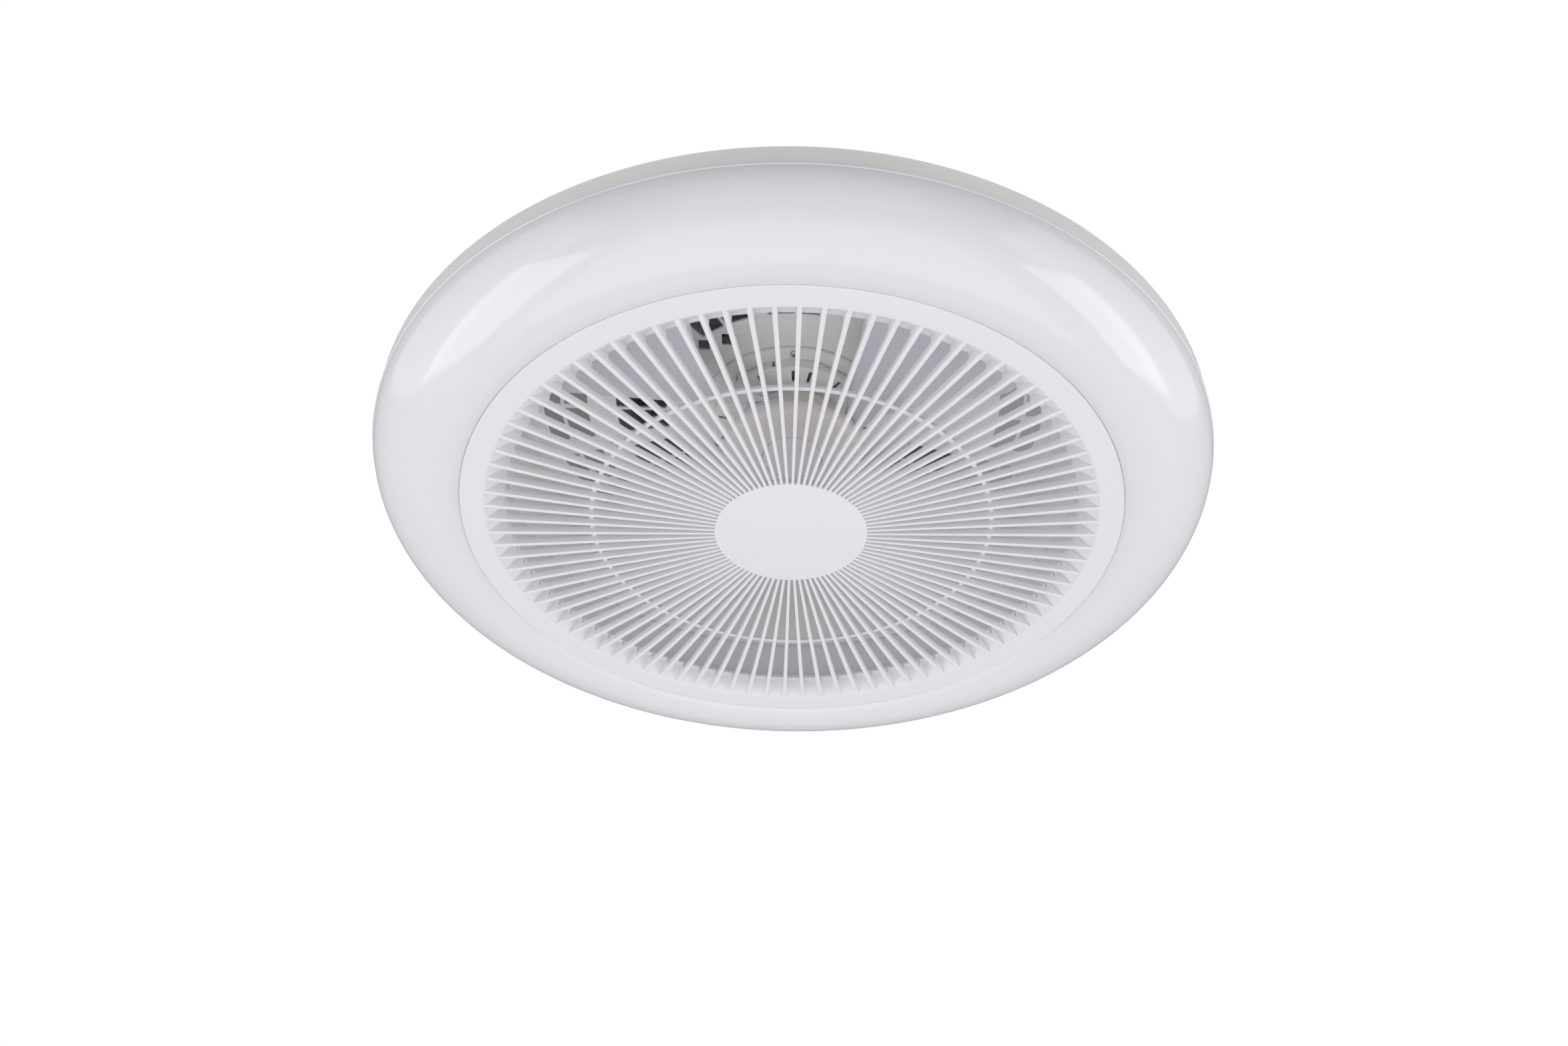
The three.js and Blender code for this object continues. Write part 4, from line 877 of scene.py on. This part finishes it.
# Height of the sheet's middle at radius r and share c of the blade's width:
# mix(lead, trail, c) + camber * spread * sin(pi c), where spread grows from the hub outwards. Near
# the tip the trailing edge draws back by tipRound * (1 - sqrt(1 - u^2)), u going from 0 to 1. The
# sheet is half thick on each side of it, and thins to a round edge over half * edgeLong.
def bladeSheet(size):
    reach = size["half"] * size["edgeLong"]
    edgeSteps = reach * (1 - np.cos(np.linspace(0, pi / 2, 5)))
    outward = np.linspace(size["inner"] + 2, size["outer"] - 2, size["rows"])
    radius = np.concatenate([size["inner"] + edgeSteps, outward, size["outer"] - edgeSteps[::-1]])[:, None]
    spread = smooth(radius, size["hub"], size["hub"] * 2)
    beyond = np.clip((radius - size["outer"]) / size["tipRound"] + 1, 0, 1)
    drawnBack = size["tipRound"] * (1 - np.sqrt(1 - beyond**2))
    arc = mix(size["rootArc"], size["tipArc"], smooth(radius, size["hub"], size["outer"]))
    arc = arc - np.degrees(drawnBack / radius)
    chord = np.radians(arc) * radius
    near = edgeSteps[None, :] / chord
    first = near.max() * 1.3
    middle = np.linspace(first, 1 - first, size["columns"])[None, :] + chord * 0
    share = np.concatenate([near, middle, 1 - near[:, ::-1]], 1)
    awayFromEnds = np.minimum(radius - size["inner"], size["outer"] - radius)
    away = np.minimum(np.minimum(share, 1 - share) * chord, awayFromEnds)
    half = size["half"] * np.sqrt(np.maximum(0, 1 - (1 - np.minimum(away / reach, 1)) ** 2))
    lead = mix(*size["lead"], spread)
    trail = mix(*size["trail"], spread)
    height = mix(lead, trail, share) + size["camber"] * spread * np.sin(pi * share)
    turn = np.arcsin(size["offset"] / radius) + np.radians(arc) * share
    x, y = radius * np.cos(turn), radius * np.sin(turn)
    under = np.stack([x, y, height - half], -1)
    over = np.stack([x, y, height + half], -1)[:, ::-1]
    section = np.concatenate([under, over], 1)
    points = section.reshape(-1, 3)
    return points, gridFaces(section.shape[0], section.shape[1], False, True)


# The sheet with its foot, which two screws hold on the hub, and the pad that leads from foot to sheet.
def bladeForm(size):
    inner, outer, start, end = size["foot"]
    screws = [polar(size["screwAt"], a) for a in (start + size["screwIn"], end - size["screwIn"])]
    holes = [circle(size["screwHole"], 24, *s) for s in screws]
    outline = sectorOutline(inner, outer, start, end, 2)
    foot = plate([outline, *holes], size["footLow"], size["footTop"], 0.5, 3)
    root = math.degrees(math.asin(size["offset"] / size["inner"])) + size["rootArc"] / 2
    half = size["padArc"] / 2
    outline = sectorOutline(inner, size["padOuter"], root - half, root + half, 1.5)
    pad = plate([outline], size["footLow"] + 0.3, size["padTop"], 1, 3)
    return together(bladeSheet(size), foot, pad)


for k in range(bladeSize["count"]):
    form = turnedBy(bladeForm(bladeSize), bladeSize["firstTurn"] + 360 / bladeSize["count"] * k)
    makePiece(f"blade_{k + 1}_moulding", form, "rotor", bladePolypropylene, [f"blade_{k + 1}"])

# Sections of (radius, height), with the radius of each corner.
hubSection = [
    (3.8, 75.8), (22, 75.8), (22, 72), (46, 72), (50.2, 73.8), (52, 78), (52, 81.5),
    (39, 81.5), (39, 104), (36.3, 104), (36.3, 78.2), (3.8, 78.2),
]
hubCorners = [0.4, 1.2, 1, 3.5, 3, 2, 0.8, 1, 0.8, 0.6, 2, 0.4]
hub = turned(softened(hubSection, hubCorners, 6), 192)
makePiece("blade_hub_cup", hub, "rotor", hubPolyamide, ["blade_hub"])
capSection = [(0, 69.6), (13, 70.2), (21.7, 72), (21.7, 75.5), (20.05, 75.5), (20.05, 72.55), (0, 70.7)]
cap = turned(softened(capSection, [0, 6, 1, 0.4, 0.4, 1, 0], 6, loop=False), 128, loop=False)
makePiece("hub_cap_dome", cap, "rotor", grilleAbs, ["hub_cap"])
print("rotor built")


# The canopy against the ceiling, and what it holds.

canopySize = {
    "radius": 150, "wall": 1.2, "low": 120.5, "top": 199.7, "flange": 138,
    "bead": 0.9, "beadAt": 128, "beadHalf": 3,
}


# The drawn steel cup has a pressed bead near its lower end, and rolled edges. The bead's section is
# radius + bead * sin(t), beadAt - beadHalf * cos(t).
def canopyForm(size):
    radius, wall, flange = size["radius"], size["wall"], size["flange"]
    low, top = size["low"], size["top"]
    turn = np.linspace(0, pi, 9)
    beadRadius = radius + size["bead"] * np.sin(turn)
    beadHeight = size["beadAt"] - size["beadHalf"] * np.cos(turn)
    outside = [(flange, low + wall), (flange, low), (radius, low), (radius, low + 4)]
    outside = softened(outside, [0.3, 0.3, 3, 0], loop=False)
    inside = [(radius, top), (radius - wall, top), (radius - wall, low + wall), (flange, low + wall)]
    inside = softened(inside, [0.3, 0.3, 2, 0], loop=False)
    section = np.concatenate([outside, np.stack([beadRadius, beadHeight], -1), inside])
    return turned(section, 240)


makePiece("canopy_shell", canopyForm(canopySize), "frame", canopyPowderCoat, ["canopy"])

plateSize = {
    "radius": 148.5, "low": 198, "top": 200, "hole": (12, -50), "slots": 60, "slotWide": 5, "slotLong": 16,
    "lightHoles": (4, 110, (30, 150, 210, 330)),
    "tabArc": 14, "tabTurns": (-90, 30, 150), "tabInner": 146.5, "tabOuter": 147.8, "tabLow": 180,
}


# A sheet with the cable hole, two slots for the installer's screws and four round holes, and three
# tabs bent down inside the canopy.
def ceilingPlateForm(size):
    holes = [circle(size["hole"][0], 48, size["hole"][1], 0)]
    holes += [roundedBox(size["slotWide"], size["slotLong"], 2.4, 0, s * size["slots"], 1.5) for s in (-1, 1)]
    radius, reach, turns = size["lightHoles"]
    holes += [circle(radius, 28, *polar(reach, a)) for a in turns]
    sheet = plate([circle(size["radius"], 180), *holes], size["low"], size["top"], 0.3)
    forms = [sheet]
    half = size["tabArc"] / 2
    for a in size["tabTurns"]:
        outline = sectorOutline(size["tabInner"], size["tabOuter"], a - half, a + half, 0.4)
        forms.append(plate([outline], size["tabLow"], size["low"] + 0.5, 0.3))
    return together(*forms)


ceilingSheet = ceilingPlateForm(plateSize)
makePiece("ceiling_plate_sheet", ceilingSheet, "frame", galvanised, ["ceiling_plate"])
grommetSection = [(7, 195.7), (14.5, 195.7), (14.5, 197.7), (11.7, 197.7), (11.7, 199.7), (7, 199.7)]
grommet = turned(softened(grommetSection, 0.5), 64)
grommet = (np.asarray(grommet[0]) + (plateSize["hole"][1], 0, 0), grommet[1])
makePiece("cable_grommet_ring", grommet, "frame", rubber, ["cable_grommet"])


caseSize = {"seam": 5, "lap": 0.2, "ribs": 7, "ribTall": 1, "ribWide": 1.2, "overhang": 1, "sink": 0.3}


# A two-part case: the body, a lid that overhangs it by a fraction, and cooling ribs along the lid.
def caseForm(size, long, wide, tall, x, y, low):
    top, overhang, ribTall = low + tall, size["overhang"], size["ribTall"]
    seam = top - size["seam"]
    body = plate([roundedBox(long - overhang, wide - overhang, 2, x, y)], low, seam, 0.6, 3)
    lid = plate([roundedBox(long, wide, 2.4, x, y)], seam - size["lap"], top - ribTall, 0.6, 3)
    forms = [body, lid]
    for k in range(size["ribs"]):
        across = y + wide * 0.36 * (2 * k / (size["ribs"] - 1) - 1)
        rib = roundedBox(long * 0.8, size["ribWide"], 0.5, x, across)
        forms.append(plate([rib], top - ribTall - size["sink"], top, 0.3))
    return together(*forms)


# A low block with three wells on it, each with a round hole for a screwdriver.
def terminalForm(long, wide, tall, x, y, low):
    forms = [plate([roundedBox(long, wide, 1.5, x, y)], low, low + tall * 0.6, 0.5, 3)]
    for k in range(3):
        across = y + wide / 3 * (k - 1)
        well = roundedBox(long * 0.45, wide / 3 - 2.4, 1, x, across)
        forms.append(plate([well, circle(2.2, 24, x, across)], low + tall * 0.55, low + tall, 0.6, 2))
    return together(*forms)


# Length, width, height and place of each box on the housing's plate.
boxesLow = 120.5
for name, material, slot, box in (
    ("led_driver", whiteCase, "driver_case", (104, 28, 22, 0, 48)),
    ("motor_controller", blackCase, "controller_case", (96, 34, 20, 0, -46)),
):
    makePiece(name + "_case", caseForm(caseSize, *box, boxesLow), "frame", material, [name])
terminal = terminalForm(18, 34, 16, -72, 0, boxesLow)
makePiece("terminal_block_body", terminal, "frame", whiteCase, ["terminal_block"])
print("canopy built")


# The two leads are rigid. The motor's goes down through a hole in the housing's plate, and the lamp's
# runs over the plate and down its wall.
leadSize = {"motor": 2.1, "lamp": 2, "lampTurn": 75}
motorPath = softened([(0, -28.7, 128.5), (0, -16, 128.5), (0, -16, 103.5)], 5, 10, loop=False)
motorLead = tube(motorPath, leadSize["motor"], 20)
makePiece("motor_lead_jacket", motorLead, "frame", leadPvc, ["motor_lead"])
lampPath = np.array([(65.0, 0, 125.5), (212.2, 0, 125.5), (212.2, 0, 53.3), (243, 0, 53.3), (243, 0, 44.6)])
lampPath = softened(lampPath, 3.5, 10, loop=False)
lampLead = turnedBy(tube(lampPath, leadSize["lamp"], 20), leadSize["lampTurn"])
makePiece("led_lead_jacket", lampLead, "frame", leadPvc, ["led_lead"])
print("leads built")


# Each screw takes its place and length from its own CAD node.

screwSize = {
    "head": 3.6, "headTall": 2.2, "edgeShare": 0.25, "core": 1.45, "ridge": 0.42, "pitch": 0.9,
    "recess": 1.1, "armHalf": 0.55, "armReach": 2.1,
}


# Height of the head over its seat: headTall * (e + (1 - e) * sqrt(1 - (r / head)^2)), e being
# edgeShare, less the cross recess, whose arms are armHalf wide on each side and taper to nothing
# at armReach.
def screwForm(size, length):
    r = np.array([0, 0.3, 0.6, 0.9, 1.2, 1.5, 1.8, 2.1, 2.4, 2.8, 3.2, 3.45, 3.6])[:, None]
    angle = np.linspace(0, 2 * pi, 48, endpoint=False)[None, :]
    x, y = r * np.cos(angle), r * np.sin(angle)
    share = size["edgeShare"]
    dome = size["headTall"] * (share + (1 - share) * np.sqrt(np.maximum(0, 1 - (r / size["head"]) ** 2)))
    arm = np.minimum(np.abs(x), np.abs(y)) < size["armHalf"]
    reach = np.clip(1 - np.maximum(np.abs(x), np.abs(y)) / size["armReach"], 0, 1)
    top = dome - size["recess"] * arm * np.minimum(1, reach * 3)
    crown = np.stack([x, y, top], -1).reshape(-1, 3)
    rim = np.stack([x[-1], y[-1], x[-1] * 0], -1)
    neck = np.stack([size["core"] * np.cos(angle[0]), size["core"] * np.sin(angle[0]), x[-1] * 0], -1)
    points = np.concatenate([crown, rim, neck])
    faces = gridFaces(len(r) + 2, 48, False, True).tolist()
    faces.append(list(range(len(points) - 48, len(points))))
    threadLow = -length + size["headTall"]
    thread = threadForm(size["core"], size["ridge"], threadLow, 0.2, size["pitch"], 16)
    return together((points, faces), thread)


# The CAD screw's box gives the middle and the length, and its widest points tell the head's side. The
# canopy's screws point to the axis, and all others stand upright.
def placedScrew(node):
    mesh = bpy.data.objects[node].data
    points = np.empty(len(mesh.vertices) * 3)
    mesh.vertices.foreach_get("co", points)
    world = np.array(bpy.data.objects[node].matrix_world)
    points = (points.reshape(-1, 3) @ world[:3, :3].T + world[:3, 3]) * 1000 + (0, 0, faceDrop)
    low, high = points.min(0), points.max(0)
    middle = (low + high) / 2
    outward = middle * (1, 1, 0)
    axis = outward / np.linalg.norm(outward) if "canopy" in node else np.array([0, 0, 1.0])
    along = (points - middle) @ axis
    away = np.linalg.norm(points - middle - along[:, None] * axis, axis=1)
    headSide = np.sign(along[away > away.max() * 0.95].mean())
    length = along.max() - along.min()
    axis = axis * headSide
    side = np.cross(axis, (0.31, 0.95, 0.11))
    side /= np.linalg.norm(side)
    form = screwForm(screwSize, length)
    turn = np.stack([side, np.cross(axis, side), axis], -1)
    seat = middle + axis * (length / 2 - screwSize["headTall"])
    return np.asarray(form[0]) @ turn.T + seat, form[1]


for body in ("frame", "rotor"):
    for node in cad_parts:
        if "_screw_" in node and node.startswith("blade_screw") == (body == "rotor"):
            makePiece(node + "_pan_head", placedScrew(node), body, zincPlated, [node])
print("screws built")


# The stage: floor, ceiling, light and camera.

floorSize = {"half": 9000, "height": -2200}
ceilingSize = {"half": 3000, "height": 204.6, "shadeMiddle": (0, 200), "shadeFull": 300, "shadeEnd": 366}


# A level square about the axis, its face turned up, or down if facingDown.
def squarePiece(name, size, material, facingDown):
    half = size["half"]
    corners = [(-half, -half), (half, -half), (half, half), (-half, half)]
    mesh = bpy.data.meshes.new(name)
    points = toMetres([(x, y, size["height"]) for x, y in corners]).tolist()
    mesh.from_pydata(points, [], [(3, 2, 1, 0) if facingDown else (0, 1, 2, 3)])
    mesh.materials.append(material)
    piece = bpy.data.objects.new(name, mesh)
    bpy.context.scene.collection.objects.link(piece)
    return piece


floorPiece = squarePiece("floor", floorSize, floorPaint, False)

# The ceiling is a wide backdrop over the fan, see-through apart from one dark grey patch with a soft
# edge. In the photo the windows, vents and cable slots look dark on a white ground, and the patch behind
# them gives that. It stands in for the fan's shade: it is painted, no light casts it, and its place suits
# the photo's viewing angle, where the fan hides its edge. From other angles below it shows beside the fan.
# Only its lower face shows, and only to the camera: it neither shades nor lights the fan.
backdropPaint = makeMaterial("ceilingShadePaint", "#828281", "#a2a2a4", 0.8, grainSize=6, grainHeight=0.05)
backdropTree = backdropPaint.node_tree
place = backdropTree.nodes["Texture Coordinate"].outputs["Object"]
# Its grey gets lighter towards the right, where the photo's windows are lighter.
sideways = addNode(backdropTree, "ShaderNodeSeparateXYZ", links={0: place}).outputs["X"]
slideRange = {"From Min": -0.1, "From Max": 0.15}
slide = addNode(backdropTree, "ShaderNodeMapRange", slideRange, {"Value": sideways}).outputs["Result"]
backdropTree.links.new(slide, backdropTree.nodes["Mix"].inputs[0])
# The shade fades out with the distance from its middle.
shadeMiddle = toMetres([(*ceilingSize["shadeMiddle"], ceilingSize["height"])])[0].tolist()
away = addNode(
    backdropTree, "ShaderNodeVectorMath", {1: shadeMiddle}, {0: place}, operation="DISTANCE",
).outputs["Value"]
fadeRange = {"From Min": ceilingSize["shadeFull"] / 1000, "From Max": ceilingSize["shadeEnd"] / 1000}
fade = addNode(backdropTree, "ShaderNodeMapRange", fadeRange, {"Value": away}).outputs["Result"]
above = addNode(backdropTree, "ShaderNodeNewGeometry").outputs["Backfacing"]
unseen = addNode(
    backdropTree, "ShaderNodeMath", links={0: above, 1: fade}, operation="MAXIMUM",
).outputs["Value"]
paint = backdropTree.nodes["Principled BSDF"].outputs["BSDF"]
clear = addNode(backdropTree, "ShaderNodeBsdfTransparent").outputs["BSDF"]
faded = addNode(backdropTree, "ShaderNodeMixShader", links={0: unseen, 1: paint, 2: clear}).outputs["Shader"]
backdropTree.links.new(faded, backdropTree.nodes["Material Output"].inputs["Surface"])
backdropPiece = squarePiece("ceiling", ceilingSize, backdropPaint, True)
for way in ("diffuse", "glossy", "transmission", "shadow"):
    setattr(backdropPiece, "visible_" + way, False)
print("floor and ceiling built")


# A soft light that looks at the fan from an azimuth and an elevation in degrees, at a distance in
# metres, with its width and height in metres and its power in watts.
def softBox(name, azimuth, elevation, distance, wide, tall, power):
    light = bpy.data.lights.new(name, "AREA")
    light.shape = "RECTANGLE"
    light.size, light.size_y, light.energy = wide, tall, power
    lamp = bpy.data.objects.new(name, light)
    a, e = math.radians(azimuth), math.radians(elevation)
    way = Vector((math.cos(e) * math.cos(a), math.cos(e) * math.sin(a), math.sin(e)))
    across = Vector((-math.sin(a), math.cos(a), 0))
    turn = Matrix((across, way.cross(across), way)).transposed()
    aim = Vector(toMetres((0, 0, 0))[0].tolist())
    lamp.matrix_world = Matrix.Translation(aim + way * distance) @ turn.to_4x4()
    lamp.visible_camera = False
    bpy.context.scene.collection.objects.link(lamp)


# The left and right boxes make the two long highlights on the diffuser. The walls light the rim band
# and the housing from the side, and the box above lights the back.
softBox("softBoxLeft", 183, -40, 2, 1.35, 0.9, 7.35)
softBox("softBoxRight", -5, -35, 2, 1.3, 0.8, 6.4)
softBox("softBoxFront", -90, -16, 2.2, 2.2, 1.6, 3.85)
softBox("softBoxUnder", 0, -90, 2.1, 2.4, 2.4, 11.5)
softBox("wallLeft", -168, -10, 2.2, 2.6, 2, 12.5)
softBox("wallRight", -12, -10, 2.2, 2.6, 2, 14.4)
softBox("softBoxAbove", 0, 90, 2.4, 2.6, 2.6, 38.5)

# The studio's white walls are seen at full strength and light the fan at a weaker one.
world = bpy.data.worlds.new("studio")
bpy.context.scene.world = world
world.use_nodes = True
sky = world.node_tree
sky.nodes.clear()
worldLight = {"seen": ("#ffffff", 1.0), "lit": ("#fdfcff", 0.313)}
seen, lit = (
    addNode(sky, "ShaderNodeBackground", {"Color": fromHex(tone), "Strength": strength}).outputs["Background"]
    for tone, strength in worldLight.values()
)
byCamera = addNode(sky, "ShaderNodeLightPath").outputs["Is Camera Ray"]
both = addNode(sky, "ShaderNodeMixShader", links={0: byCamera, 1: lit, 2: seen}).outputs["Shader"]
addNode(sky, "ShaderNodeOutputWorld", links={"Surface": both})
bpy.context.scene.view_settings.view_transform = "Standard"

# The camera's place and its three directions at the photo's viewing angle, and the small turn about
# the fan's axis that brings the ribs to where the photo shows them.
cameraSize = {
    "place": (0, -774.92, -619.32), "lens": 32.23, "sensor": 36, "turn": -0.73,
    "right": (0.99982, -0.007653, 0.01737),
    "up": (-0.018307, -0.630497, 0.775976),
    "back": (0.005013, -0.776154, -0.630524),
}
cameraData = bpy.data.cameras.new("camera")
cameraData.lens = cameraSize["lens"]
cameraData.sensor_width = cameraSize["sensor"]
camera = bpy.data.objects.new("camera", cameraData)
bpy.context.scene.collection.objects.link(camera)
axes = Matrix([cameraSize[way] for way in ("right", "up", "back")]).transposed().to_4x4()
place = Matrix.Translation(toMetres(cameraSize["place"])[0].tolist())
camera.matrix_world = Matrix.Rotation(math.radians(cameraSize["turn"]), 4, "Z") @ place @ axes
bpy.context.scene.camera = camera
print("stage built")
